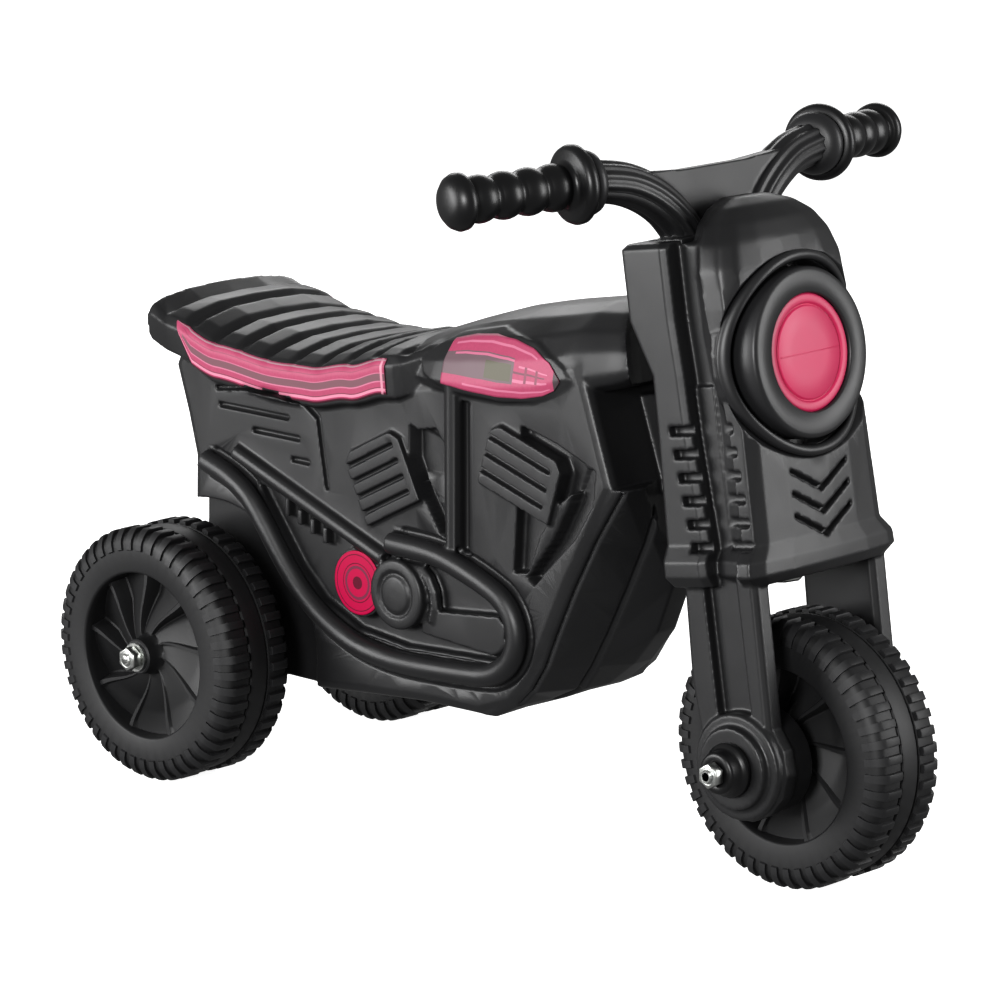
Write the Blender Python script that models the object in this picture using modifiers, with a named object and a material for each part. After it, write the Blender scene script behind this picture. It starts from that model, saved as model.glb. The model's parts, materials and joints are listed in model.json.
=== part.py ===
"""Ride-on mini bike: moulded body, three wheels, steered fork cowl and handlebar.

Metres, +Z up, +X forwards, +Y to the rider's left. The origin is on the ground, midway
between the axles. The cowl, its wheel and the handlebar are modelled in the steering frame:
its origin is the middle of the front axle and its Z axis is the steering axis.
"""
import math

import bmesh
import bpy
from mathutils import Matrix, Vector

# Overall layout
WHEELBASE = 0.434
WHEEL_RADIUS = 0.080
WHEEL_WIDTH = 0.054
REAR_TRACK = 0.194
RAKE = math.radians(9.3)
SEAT_HEIGHT = 0.267
TANK_HEIGHT = 0.331
BELLY_HEIGHT = 0.062

# Clearances between pieces
SEAT_GAP = 0.0003
RUNNING_GAP = 0.0004
TURNING_ROOM = 0.003

# Wheels
LUG_COUNT = 36
LUG_HEIGHT = 0.0026
LUG_WIDTH = 0.0125
SHOULDER = 0.005
RIM_INNER_RADIUS = 0.052
DISH_DEPTH = 0.006
HUB_RADIUS = 0.011
HUB_LENGTH = 0.061
BLADE_COUNT = 9
BLADE_THICKNESS = 0.0032
BLADE_SWEEP = math.radians(26)
POCKET_DEPTH = 0.011

# Axles and their fasteners
AXLE_RADIUS = 0.004
WASHER_RADIUS = 0.009
WASHER_THICKNESS = 0.0016
NUT_ACROSS_FLATS = 0.013
NUT_HEIGHT = 0.0068
AXLE_PROUD = 0.0015
CUP_HEIGHT = 0.0127

# Body
BODY_HALF_WIDTH = 0.059
ARCH_HALF_WIDTH = 0.046
ARCH_GAP = 0.009
AXLE_BOSS_RADIUS = 0.017
SEAT_HALF_WIDTH = 0.067
SEAT_CROWN = 0.011
SEAT_ROLLS = 9
SEAT_ROLL_DEPTH = 0.0045
SEAT_BAND = 0.026
TANK_HALF_WIDTH = 0.064
TANK_SECTIONS = 9
PAD_PROUD = 0.0015
BADGE_PROUD = 0.002
BADGE_CENTRE = (0.128, 0.137)
BADGE_RADIUS = 0.020
EXHAUST_RADIUS = 0.0068
RAIL_RADIUS = 0.0048
DECAL_THICKNESS = 0.0004

# Steering head
NECK_HALF_WIDTH = 0.016
LUG_RADIUS = 0.019
LUG_LOW = 0.150
LUG_HIGH = 0.212
PIN_RADIUS = 0.005
PIN_FLATS = 0.016
PIN_HEAD_HEIGHT = 0.006
BUSH_FLANGE = 0.002
BUSH_DEPTH = 0.014
BUSH_RADIUS = PIN_RADIUS + SEAT_GAP + 0.002
NUT_FLOOR = 0.260

# Fork cowl, in the steering frame
COWL_HALF_WIDTH = 0.060
COWL_REAR = 0.041
COWL_REAR_TOP = 0.050
COWL_CORNER = 0.006
COWL_BOTTOM = 0.104
COWL_TOP = 0.302
DOME_TOP = 0.322
CAVITY_HALF_WIDTH = 0.050
LEG_INNER = HUB_LENGTH / 2 + RUNNING_GAP
LEG_OUTER = COWL_HALF_WIDTH - 0.0007
LEG_THICKNESS = 0.0148
LEG_BOSS_RADIUS = 0.033
LEG_SEAT = 0.067
LAMP_HEIGHT = 0.230
LAMP_RADIUS = 0.038
LENS_BACK = 0.0325
VENT_COUNT = 6
VENT_PITCH = 0.0135
VENT_HEIGHT = 0.0055

# Handlebar, in the steering frame
BAR_RADIUS = 0.0118
BAR_HEIGHT = 0.342
BAR_SETBACK = 0.030
BASE_BACK = -0.038
BASE_FRONT = -0.012
BASE_HALF_WIDTH = 0.044
BASE_BOTTOM = 0.280
FLANGE_OFFSET = 0.1025
FLANGE_RADIUS = 0.0230
GRIP_LENGTH = 0.0905
GRIP_RADIUS = 0.0138
GRIP_END_RADIUS = 0.0168
GRIP_SWEEP = math.radians(14)
CORE_RADIUS = 0.008

REAR_X = -WHEELBASE / 2
FRONT_X = WHEELBASE / 2
AXLE_HEIGHT = WHEEL_RADIUS * math.cos(math.pi / (2 * LUG_COUNT))
STEER = Matrix.Translation((FRONT_X, 0, AXLE_HEIGHT)) @ Matrix.Rotation(-RAKE, 4, "Y")
TO_LEFT = Matrix.Rotation(-math.pi / 2, 4, "X")
TO_RIGHT = Matrix.Rotation(math.pi / 2, 4, "X")
SWING_RADIUS = math.hypot(COWL_REAR_TOP - COWL_CORNER, COWL_HALF_WIDTH) + TURNING_ROOM


def clear_scene():
    for item in list(bpy.data.objects):
        bpy.data.objects.remove(item, do_unlink=True)


def collection(name):
    made = bpy.data.collections.new(name)
    bpy.context.scene.collection.children.link(made)
    return made


def material(name, colour, roughness, metallic=0.0):
    made = bpy.data.materials.new(name)
    made.use_nodes = True
    shader = made.node_tree.nodes["Principled BSDF"]
    shader.inputs["Base Color"].default_value = (*colour, 1.0)
    shader.inputs["Roughness"].default_value = roughness
    shader.inputs["Metallic"].default_value = metallic
    return made


def add_object(name, mesh, place=None, finish=None):
    """Link a mesh to the bike's collection, or to the cutters' when it has no finish."""
    made = bpy.data.objects.new(name, mesh)
    made.matrix_world = place or Matrix()
    if finish is None:
        CUTTERS.objects.link(made)
        made.hide_render = True
        made.display_type = "WIRE"
    else:
        BIKE.objects.link(made)
        mesh.materials.clear()
        mesh.materials.append(finish)
    return made


def to_mesh(name, shape):
    bmesh.ops.recalc_face_normals(shape, faces=shape.faces)
    mesh = bpy.data.meshes.new(name)
    shape.to_mesh(mesh)
    shape.free()
    return mesh


def tool(name, shape, place=None):
    return add_object(name, to_mesh(name, shape), place)


def combine(target, other, operation):
    step = target.modifiers.new(other.name, "BOOLEAN")
    step.operation = operation
    step.object = other
    step.solver = "EXACT"


def join(target, *others):
    for other in others:
        combine(target, other, "UNION")


def cut(target, *others):
    for other in others:
        combine(target, other, "DIFFERENCE")


def evaluated_mesh(item):
    graph = bpy.context.evaluated_depsgraph_get()
    return bpy.data.meshes.new_from_object(item.evaluated_get(graph), depsgraph=graph)


def settle(item):
    """Apply an object's modifiers, so that later tools work on a plain mesh."""
    finished = evaluated_mesh(item)
    item.modifiers.clear()
    item.data = finished


# Shape helpers

def loft(rings, same_split=False):
    """A closed solid through rings of points that all have the same count.

    same_split cuts every quad along the same diagonal, so that nested lofts keep their gap.
    """
    shape = bmesh.new()
    rows = [[shape.verts.new(point) for point in ring] for ring in rings]
    count = len(rows[0])
    for low, high in zip(rows, rows[1:]):
        for i in range(count):
            j = (i + 1) % count
            shape.faces.new((low[i], low[j], high[j], high[i]))
    if same_split:
        bmesh.ops.triangulate(shape, faces=shape.faces, quad_method="FIXED")
    else:
        bmesh.ops.connect_verts_nonplanar(shape, angle_limit=0.002, faces=shape.faces)
    shape.faces.new(rows[0])
    shape.faces.new(rows[-1])
    return shape


def side_prism(outline, near, far, rounding=0.0, segments=2):
    """Extrude a side view of (x, z) points from y=near to y=far and round both rims."""
    shape = bmesh.new()
    face = shape.faces.new([shape.verts.new((x, near, z)) for x, z in outline])
    made = bmesh.ops.extrude_face_region(shape, geom=[face])
    moved = [item for item in made["geom"] if isinstance(item, bmesh.types.BMVert)]
    bmesh.ops.translate(shape, verts=moved, vec=(0, far - near, 0))
    if rounding:
        rims = [edge for edge in shape.edges
                if abs(edge.verts[0].co.y - edge.verts[1].co.y) < 1e-6]
        bmesh.ops.bevel(shape, geom=rims, offset=rounding, segments=segments, profile=0.5,
                        affect="EDGES", clamp_overlap=True)
    return shape


def box(low, high):
    shape = bmesh.new()
    centre = [(a + b) / 2 for a, b in zip(low, high)]
    size = [b - a for a, b in zip(low, high)]
    place = Matrix.Translation(centre) @ Matrix.Diagonal((*size, 1))
    bmesh.ops.create_cube(shape, size=1.0, matrix=place)
    return shape


def disc(radius, start, end, axis="Y", centre=(0, 0, 0), sides=24, end_radius=None):
    """A cylinder or cone from start to end along an axis through centre."""
    turn = Matrix()
    if axis == "Y":
        turn = Matrix.Rotation(-math.pi / 2, 4, "X")
    elif axis == "X":
        turn = Matrix.Rotation(math.pi / 2, 4, "Y")
    middle = (start + end) / 2
    place = Matrix.Translation(centre) @ turn @ Matrix.Translation((0, 0, middle))
    shape = bmesh.new()
    top = radius if end_radius is None else end_radius
    bmesh.ops.create_cone(shape, cap_ends=True, segments=sides, radius1=radius,
                          radius2=top, depth=end - start, matrix=place)
    return shape


def merged(shapes):
    """Several closed shapes that don't touch, in one tool."""
    whole = bmesh.new()
    for shape in shapes:
        part = bpy.data.meshes.new("part")
        shape.to_mesh(part)
        shape.free()
        whole.from_mesh(part)
        bpy.data.meshes.remove(part)
    return whole


def turned(name, profile, sides, place=None, finish=None):
    """Turn a closed profile of (radius, height) points about Z with a Screw modifier."""
    shape = bmesh.new()
    points = [shape.verts.new((radius, 0, height)) for radius, height in profile]
    for start, end in zip(points, points[1:] + points[:1]):
        if start.co.x or end.co.x:
            shape.edges.new((start, end))
    mesh = bpy.data.meshes.new(name)
    shape.to_mesh(mesh)
    shape.free()
    made = add_object(name, mesh, place, finish)
    screw = made.modifiers.new("turn", "SCREW")
    screw.axis = "Z"
    screw.steps = sides
    screw.render_steps = sides
    screw.use_merge_vertices = True
    screw.merge_threshold = 0.00001
    screw.use_smooth_shade = False
    return made


def tube(name, points, radius, sides=8, place=None):
    """A round tube along points, as a closed mesh tool."""
    curve = bpy.data.curves.new(name, "CURVE")
    curve.dimensions = "3D"
    curve.bevel_depth = radius
    curve.bevel_resolution = sides // 2 - 2
    curve.use_fill_caps = True
    line = curve.splines.new("POLY")
    line.points.add(len(points) - 1)
    for slot, point in zip(line.points, points):
        slot.co = (*point, 1)
    holder = bpy.data.objects.new(name, curve)
    CUTTERS.objects.link(holder)
    shape = bmesh.new()
    mesh = evaluated_mesh(holder)
    shape.from_mesh(mesh)
    bpy.data.meshes.remove(mesh)
    bpy.data.objects.remove(holder)
    bmesh.ops.remove_doubles(shape, verts=shape.verts, dist=0.00001)
    return add_object(name, to_mesh(name, shape), place)


def smooth_path(points, steps):
    """Points along a Catmull-Rom curve through the given ones."""
    rows = [Vector(p) for p in points]
    rows = [2 * rows[0] - rows[1]] + rows + [2 * rows[-1] - rows[-2]]
    path = []
    for a, b, c, d in zip(rows, rows[1:], rows[2:], rows[3:]):
        for k in range(steps):
            t = k / steps
            path.append(0.5 * (2 * b + (c - a) * t + (2 * a - 5 * b + 4 * c - d) * t * t
                               + (3 * b - a - 3 * c + d) * t * t * t))
    path.append(rows[-2])
    return path


def blend(table, x):
    """Read a value between the (position, value) pairs of a table."""
    for (x0, v0), (x1, v1) in zip(table, table[1:]):
        if x <= x1:
            t = max(0.0, min(1.0, (x - x0) / (x1 - x0)))
            t = t * t * (3 - 2 * t)
            return v0 + (v1 - v0) * t
    return table[-1][1]


def shade(item):
    item.data.shade_smooth()
    item.data.set_sharp_from_angle(angle=math.radians(35))


# Wheels

def wheel_pockets(face, depth):
    """Nine swept pockets between turbine blades, deeper towards one side of each blade."""
    start, end = HUB_RADIUS + 0.004, RIM_INNER_RADIUS - 0.0025
    levels = 3
    pitch = 2 * math.pi / BLADE_COUNT
    shapes = []
    for blade in range(BLADE_COUNT):
        sides = ([], [])
        for level in range(levels):
            share = level / (levels - 1)
            radius = start + (end - start) * share
            sweep = BLADE_SWEEP * (1 - (1 - share) ** 2)
            margin = BLADE_THICKNESS / 2 / radius
            for side, edge in enumerate((margin, pitch - margin)):
                angle = blade * pitch + sweep + edge
                sides[side].append((radius * math.sin(angle), radius * math.cos(angle)))
        outline = sides[0] + sides[1][::-1]
        floors = [depth * 0.35] * levels + [depth] * levels
        top = [(x, z, face + 0.002) for x, z in outline]
        floor = [(x, z, face - drop) for (x, z), drop in zip(outline, floors)]
        shapes.append(loft([floor, top]))
    return merged(shapes)


def add_lugs(item):
    """Raise every second face of both shoulder bands into a tread lug."""
    shape = bmesh.new()
    shape.from_mesh(item.data)
    pitch = 2 * math.pi / LUG_COUNT
    chosen = []
    for face in shape.faces:
        middle = face.calc_center_median()
        reach = math.hypot(middle.x, middle.y)
        if reach < WHEEL_RADIUS - 2 * LUG_HEIGHT or abs(face.normal.z) > 0.2:
            continue
        if abs(middle.z) < WHEEL_WIDTH / 2 - SHOULDER - LUG_WIDTH:
            continue
        turn = math.atan2(middle.y, middle.x) % pitch
        if turn < pitch / 2:
            chosen.append(face)
    raised = bmesh.ops.extrude_discrete_faces(shape, faces=chosen)["faces"]
    for face in raised:
        for vert in face.verts:
            reach = math.hypot(vert.co.x, vert.co.y)
            vert.co.x *= (reach + LUG_HEIGHT) / reach
            vert.co.y *= (reach + LUG_HEIGHT) / reach
    bmesh.ops.rotate(shape, verts=shape.verts, matrix=Matrix.Rotation(-pitch / 4, 3, "Z"))
    shape.to_mesh(item.data)
    shape.free()


def wheel_mesh(both_sides):
    """One moulded wheel about Z: tread ring, dished web with turbine blades, and hub."""
    half = WHEEL_WIDTH / 2
    tread = WHEEL_RADIUS - LUG_HEIGHT
    wall = RIM_INNER_RADIUS + 0.004
    edge = half - SHOULDER
    inner = edge - LUG_WIDTH
    ring = turned("tread_ring", [
        (RIM_INNER_RADIUS, half), (tread - SHOULDER, half), (tread, edge), (tread, inner),
        (tread, -inner), (tread, -edge), (tread - SHOULDER, -half),
        (RIM_INNER_RADIUS, -half)], 2 * LUG_COUNT)
    settle(ring)
    add_lugs(ring)
    hub = HUB_LENGTH / 2
    floor = half - DISH_DEPTH
    web = turned("web", [
        (AXLE_RADIUS + RUNNING_GAP, hub), (HUB_RADIUS, hub), (HUB_RADIUS + 0.002, floor),
        (wall, floor), (wall, -floor), (HUB_RADIUS + 0.002, -floor), (HUB_RADIUS, -hub),
        (AXLE_RADIUS + RUNNING_GAP, -hub)], 24)
    join(ring, web)
    cut(ring, tool("pockets", wheel_pockets(floor, POCKET_DEPTH)))
    if both_sides:
        flip = Matrix.Rotation(math.pi, 4, "X")
        cut(ring, tool("pockets_back", wheel_pockets(floor, POCKET_DEPTH), flip))
    mesh = evaluated_mesh(ring)
    bpy.data.objects.remove(ring)
    return mesh


def add_wheels():
    moulding = wheel_mesh(False)
    for name, side, turn in (("rear_wheel_right", -1, TO_RIGHT), ("rear_wheel_left", 1, TO_LEFT)):
        place = Matrix.Translation((REAR_X, side * REAR_TRACK / 2, AXLE_HEIGHT)) @ turn
        shade(add_object(name, moulding.copy(), place, BLACK_WHEEL))
    place = Matrix.Translation((FRONT_X, 0, AXLE_HEIGHT)) @ TO_RIGHT
    shade(add_object("front_wheel", wheel_mesh(True), place, BLACK_WHEEL))


# Fasteners and axles

def add_ring(name, profile, place, finish, sides=16):
    made = turned(name, profile, sides, place, finish)
    shade(made)
    return made


def add_washer(name, radius, start, place, rod=AXLE_RADIUS):
    bore = rod + SEAT_GAP
    end = start + WASHER_THICKNESS
    return add_ring(name, [(bore, end), (radius, end), (radius, start), (bore, start)],
                    place, ZINC)


def add_nut(name, start, place, rod=AXLE_RADIUS, across_flats=NUT_ACROSS_FLATS):
    """A hexagon nut with chamfered corners, from start along the place's Z axis."""
    corner = across_flats / math.sqrt(3)
    chamfer = 0.0012
    end = start + NUT_HEIGHT
    nut = turned(name, [(0, end), (corner - chamfer, end), (corner, end - chamfer),
                        (corner, start), (0, start)], 6, place, ZINC)
    cut(nut, tool(name + "_bore", disc(rod + SEAT_GAP, start - 0.002, end + 0.002, axis="Z",
                                       sides=16), place))


def add_rod(name, low, high, place, radius):
    """A round steel rod with chamfered ends, along the place's Z axis."""
    chamfer = 0.0008
    return add_ring(name, [(0, high), (radius - chamfer, high), (radius, high - chamfer),
                           (radius, low + chamfer), (radius - chamfer, low), (0, low)],
                    place, ZINC)


def add_axle(prefix, centre, seat, washer):
    """An axle rod along Y with a washer and a nut at each end, outside y=seat."""
    nut_start = seat + SEAT_GAP
    if washer:
        nut_start += WASHER_THICKNESS + SEAT_GAP
    reach = nut_start + NUT_HEIGHT + AXLE_PROUD
    middle = Matrix.Translation(centre)
    add_rod(prefix + "_axle", -reach, reach, middle @ TO_LEFT, AXLE_RADIUS)
    for side, turn in (("left", TO_LEFT), ("right", TO_RIGHT)):
        if washer:
            add_washer(f"{prefix}_washer_{side}", WASHER_RADIUS, seat + SEAT_GAP, middle @ turn)
        add_nut(f"{prefix}_nut_{side}", nut_start, middle @ turn)


# Body

# The body's side views are drawn for a wheelbase of 0.434, a belly at 0.062, a seat at 0.267
# and a tank top at 0.331. These functions stretch them to the sizes at the top of the file.

def rear(x):
    """X of a point at a drawn distance ahead of the rear axle."""
    return REAR_X + x * WHEELBASE / 0.434


def level(z):
    """Height of a point at a drawn height on the body."""
    marks = [(0.0, 0.0), (0.062, BELLY_HEIGHT), (0.267, SEAT_HEIGHT), (0.331, TANK_HEIGHT)]
    for (z0, v0), (z1, v1) in zip(marks, marks[1:]):
        if z <= z1:
            break
    return v0 + (v1 - v0) * (z - z0) / (z1 - z0)


def steer_x(z, ahead):
    """X of a point at a height, at a drawn distance ahead of the steering axis."""
    return FRONT_X - (z - AXLE_HEIGHT) * math.tan(RAKE) + ahead * WHEELBASE / 0.434


def rear_points(*points):
    return [(rear(x), level(z)) for x, z in points]


def slab_outline():
    """Side view of the flat-sided middle, from the seat's tail round to the rear axle."""
    axle = AXLE_HEIGHT
    back = rear_points((-0.020, axle + 0.114), (-0.027, axle + 0.140), (-0.037, 0.250),
                       (-0.030, 0.264), (0.100, 0.255), (0.150, 0.262))
    front = [(steer_x(level(z), ahead), level(z)) for z, ahead in (
        (0.285, -0.155), (0.300, -0.092), (0.284, -0.087), (0.226, -0.076), (0.160, -0.122),
        (0.120, -0.147), (0.092, -0.168))]
    under = rear_points((0.254, 0.081), (0.227, 0.071), (0.177, 0.070), (0.128, 0.066),
                        (0.088, 0.062), (0.050, 0.062),
                        (0.015, axle - 0.024), (-0.016, axle - 0.018), (-0.026, axle + 0.006),
                        (-0.022, axle + 0.050))
    return back + front + under


def prow_rings():
    """Sections of the ribbed front below the tank, from the belly up to the neck."""
    rows = [
        (0.072, -0.197, -0.203, -0.210), (0.083, -0.1745, -0.1715, -0.1715),
        (0.092, -0.164, -0.152, -0.146), (0.108, -0.151, -0.138, -0.123),
        (0.130, -0.138, -0.122, -0.101), (0.160, -0.119, -0.102, -0.084),
        (0.190, -0.098, -0.083, -0.076), (0.226, -0.069, -0.064, -0.064)]
    wide = BODY_HALF_WIDTH - 0.0015
    rings = []
    for z, crease, rib, front in rows:
        side = [(-0.230, wide - 0.006), (crease - 0.008, wide), (crease, wide - 0.002),
                (rib, 0.030), (rib + 0.004, 0.025), (front, 0.008)]
        z = level(z)
        half = [(steer_x(z, ahead), y) for ahead, y in side]
        rings.append([(x, -y, z) for x, y in half] + [(x, y, z) for x, y in half[::-1]])
    return rings


def mirrored_ring(x, half):
    """A closed section at x from its half outline, given as (y, z) from bottom to top."""
    return [(x, -y, z) for y, z in half] + [(x, y, z) for y, z in half[-2:0:-1]]


def seat_edge(x):
    """Height of the seat's top edge at a distance ahead of the rear axle."""
    return level(blend([(-0.056, 0.287), (-0.034, 0.282), (0.010, 0.271), (0.060, 0.267),
                        (0.092, 0.268), (0.125, 0.274), (0.155, 0.282), (0.195, 0.293)], x))


def seat_rings():
    """Sections along the seat, with a row of rolls over its crown."""
    start, end, first = -0.056, 0.190, -0.040
    pitch = (0.168 - first) / SEAT_ROLLS
    grooves = [first + pitch * roll for roll in range(SEAT_ROLLS + 1)]
    stations = [start, start + 0.003]
    for groove in grooves[:-1]:
        stations += [groove, groove + 0.22 * pitch, groove + 0.78 * pitch]
    stations += [grooves[-1], 0.180, end]
    rings = []
    for x in stations:
        wide = SEAT_HALF_WIDTH + blend([(-0.056, -0.003), (-0.03, 0.0), (0.160, 0.0),
                                        (0.19, -0.013)], x)
        top = seat_edge(x)
        low = top - SEAT_BAND - blend([(-0.03, 0.0), (0.01, 0.003)], x)
        dip = SEAT_ROLL_DEPTH if x in grooves else 0.0
        crown = SEAT_CROWN * blend([(-0.056, 0.6), (0.0, 1.0), (0.12, 0.9), (0.19, 0.5)], x)
        if x == start:
            top, low = top - 0.003, low + 0.003
        half = [(0.0, low), (wide - 0.012, low), (wide - 0.002, low + 0.003),
                (wide, top - 0.006), (wide - 0.004, top - 0.4 * dip),
                (wide * 0.80, top + crown * 0.45 - dip),
                (wide * 0.45, top + crown * 0.9 - dip), (0.0, top + crown - dip)]
        rings.append(mirrored_ring(rear(x), half))
    return rings


def tank_rings(grow=0.0):
    """Sections along the tank, from inside the seat's nose to the steering head."""
    lip = [(0.0, 0.268), (0.22, 0.263), (0.45, 0.262), (0.62, 0.266), (0.80, 0.278),
           (1.0, 0.292)]
    top = [(0.0, 0.279), (0.13, 0.295), (0.27, 0.305), (0.42, 0.315), (0.58, 0.323),
           (0.76, 0.329), (1.0, 0.331)]
    width = [(0.0, -0.016), (0.2, -0.002), (0.45, 0.0), (0.7, -0.004), (1.0, -0.014)]
    start, end = rear(0.140), steer_x(TANK_HEIGHT, -0.040)
    rings = []
    for step in range(TANK_SECTIONS):
        share = step / (TANK_SECTIONS - 1)
        low = level(blend(lip, share))
        high = level(blend(top, share)) + grow
        wide = TANK_HALF_WIDTH + blend(width, share) + grow
        rise = high - low
        half = [(0.0, low), (wide - 0.010, low), (wide - 0.002, low + min(0.004, 0.2 * rise)),
                (wide, low + 0.22 * rise), (wide * 0.955, low + 0.48 * rise),
                (wide * 0.82, low + 0.72 * rise), (wide * 0.58, low + 0.90 * rise),
                (wide * 0.28, low + 0.98 * rise), (0.0, high)]
        rings.append(mirrored_ring(start + (end - start) * share, half))
    return rings


def exhaust_path():
    side = -(BODY_HALF_WIDTH + 0.003)
    points = [(-0.006, 0.194), (0.018, 0.186), (0.038, 0.173), (0.066, 0.139), (0.084, 0.121),
              (0.104, 0.108), (0.130, 0.098), (0.165, 0.094), (0.224, 0.097), (0.244, 0.101),
              (0.257, 0.111), (0.262, 0.126), (0.257, 0.141), (0.242, 0.152), (0.200, 0.165),
              (0.157, 0.167)]
    return [(rear(x), side, level(z)) for x, z in points]


def relief_prism(outline, floor, proud):
    """A prism on the right side, from inside the body to a height proud of its side."""
    return side_prism(outline, -BODY_HALF_WIDTH - proud, -BODY_HALF_WIDTH + floor)


def rear_disc(centre, radius, floor, proud, sides=24):
    x, z = centre
    return disc(radius, -BODY_HALF_WIDTH - proud, -BODY_HALF_WIDTH + floor,
                centre=(rear(x), 0, level(z)), sides=sides)


def slot(x0, x1, z0, z1, depth):
    return box((x0, -BODY_HALF_WIDTH - 0.02, z0), (x1, -BODY_HALF_WIDTH + depth, z1))


def finned_block(name, centre, wide, tall, angle, fins):
    """An engine cylinder: a block turned about Y, with slots between its fins."""
    corner = 0.006
    outline = [(-wide / 2, -tall / 2), (wide / 2, -tall / 2), (wide / 2, tall / 2 - corner),
               (wide / 2 - corner, tall / 2), (corner - wide / 2, tall / 2),
               (-wide / 2, tall / 2 - corner)]
    place = Matrix.Translation((rear(centre[0]), 0, level(centre[1])))
    place = place @ Matrix.Rotation(angle, 4, "Y")
    block = tool(name, relief_prism(outline, 0.020, 0.004), place)
    pitch = tall / (fins + 0.6)
    slots = []
    for fin in range(fins):
        z = -tall / 2 + pitch * (fin + 0.8)
        slots.append(slot(-wide, wide * 0.38, z - 0.0014, z + 0.0014, 0.0))
    cut(block, tool(name + "_slots", merged(slots), place))
    return block


def body_recesses():
    """Recesses, louvres and grooves cut into the right side."""
    panel = rear_points((0.036, 0.186), (0.052, 0.166), (0.074, 0.138), (0.094, 0.120),
                        (0.124, 0.107), (0.165, 0.103), (0.238, 0.107), (0.249, 0.116),
                        (0.252, 0.128), (0.246, 0.138), (0.236, 0.144), (0.200, 0.156),
                        (0.158, 0.158), (0.140, 0.162))
    behind = rear_points((0.172, 0.238), (0.192, 0.242), (0.200, 0.232), (0.203, 0.198),
                         (0.206, 0.180), (0.198, 0.176), (0.190, 0.190), (0.177, 0.208))
    ahead = rear_points((0.262, 0.254), (0.290, 0.247), (0.314, 0.238), (0.313, 0.226),
                        (0.294, 0.213), (0.277, 0.190), (0.268, 0.166), (0.256, 0.164))
    frame = rear_points((0.001, 0.2385), (0.030, 0.2425), (0.059, 0.2435), (0.079, 0.2400),
                        (0.0900, 0.233), (0.0935, 0.212), (0.0975, 0.190), (0.101, 0.190),
                        (0.0970, 0.213), (0.0935, 0.235), (0.0815, 0.2428), (0.059, 0.2465),
                        (0.030, 0.2455), (0.001, 0.2415))
    cuts = [relief_prism(panel, 0.007, 0.02), relief_prism(behind, 0.008, 0.02),
            relief_prism(ahead, 0.008, 0.02), relief_prism(frame, 0.0035, 0.02)]
    for x0, x1, z in ((0.004, 0.066, 0.2300), (0.034, 0.076, 0.2180), (0.068, 0.084, 0.2045)):
        cuts.append(slot(rear(x0), rear(x1), level(z) - 0.0017, level(z) + 0.0017, 0.0035))
    cuts.append(slot(rear(0.212), rear(0.220), level(0.170), level(0.262), 0.006))
    return [tool(f"recess_{i}", shape) for i, shape in enumerate(cuts)]


def badge_radius():
    """The badge's radius, which grows with the room between the exhaust and the rail."""
    return level(BADGE_CENTRE[1] + BADGE_RADIUS) - level(BADGE_CENTRE[1])


def body_reliefs():
    """Engine, exhaust and covers standing proud of the right side."""
    side = -(BODY_HALF_WIDTH + 0.001)
    hub = (0.163, 0.136)
    arc = [(rear(hub[0]) + 0.003 + 0.024 * math.cos(a), side + 0.003,
            level(hub[1]) - 0.003 + 0.024 * math.sin(a))
           for a in (math.radians(128 - 22 * i) for i in range(8))]
    lever = rear_points((0.180, 0.114), (0.240, 0.110), (0.248, 0.117), (0.249, 0.130),
                        (0.243, 0.135), (0.196, 0.130), (0.180, 0.128))
    tools = [
        tube("exhaust", exhaust_path(), EXHAUST_RADIUS),
        tube("rail", [(rear(0.020), side, level(0.2025)), (rear(0.150), side, level(0.1555))],
             RAIL_RADIUS),
        tube("cover_arc", arc, 0.0040, sides=6),
        tube("post", [(rear(0.2065), side + 0.002, level(0.160)),
                      (rear(0.2065), side + 0.002, level(0.272))], 0.0060),
        tool("round_cover", rear_disc(hub, 0.0185, 0.010, 0.001, sides=20)),
        tool("badge_boss", rear_disc(BADGE_CENTRE, badge_radius() + 0.0015, 0.010,
                                     BADGE_PROUD)),
        tool("lever_cover", relief_prism(lever, 0.010, 0.0)),
        finned_block("rear_cylinder", (0.149, 0.206), 0.050, 0.046, math.radians(-27), 4),
        finned_block("front_cylinder", (0.264, 0.226), 0.060, 0.040, math.radians(17), 3)]
    ticks = []
    for i in range(4):
        x, z = 0.062 + 0.011 * i, level(0.178 - 0.0040 * i)
        ticks.append(box((rear(x), -BODY_HALF_WIDTH - 0.0005, z - 0.010),
                         (rear(x) + 0.0035, -BODY_HALF_WIDTH + 0.01, z)))
    tools.append(tool("ticks", merged(ticks)))
    return tools


def leaf_outline(inset=0.0):
    """The pointed oval on the tank's side that carries the decal."""
    top = [(0.178, 0.284), (0.200, 0.300), (0.235, 0.308), (0.270, 0.304), (0.294, 0.294)]
    low = [(0.306, 0.283), (0.290, 0.272), (0.250, 0.2665), (0.205, 0.268), (0.184, 0.275)]
    centre = Vector((0.242, 0.286))
    points = []
    for x, z in top + low:
        away = Vector((x, z)) - centre
        away *= (away.length - inset) / away.length
        points.append((rear(centre.x + away.x), level(centre.y + away.y)))
    return points


def outer_shell(name, rings, outline):
    """Where a side view of the right side meets a loft, as a tool."""
    whole = tool(name, loft(rings, same_split=True))
    window = tool(name + "_window", side_prism(outline, -0.09, -0.03))
    combine(whole, window, "INTERSECT")
    return whole


def axle_bosses():
    end = REAR_TRACK / 2 - HUB_LENGTH / 2 - RUNNING_GAP
    root = ARCH_HALF_WIDTH - 0.004
    return tool("axle_boss", disc(AXLE_BOSS_RADIUS - 0.003, -end, -root,
                                  centre=(REAR_X, 0, AXLE_HEIGHT), sides=20,
                                  end_radius=AXLE_BOSS_RADIUS))


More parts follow.
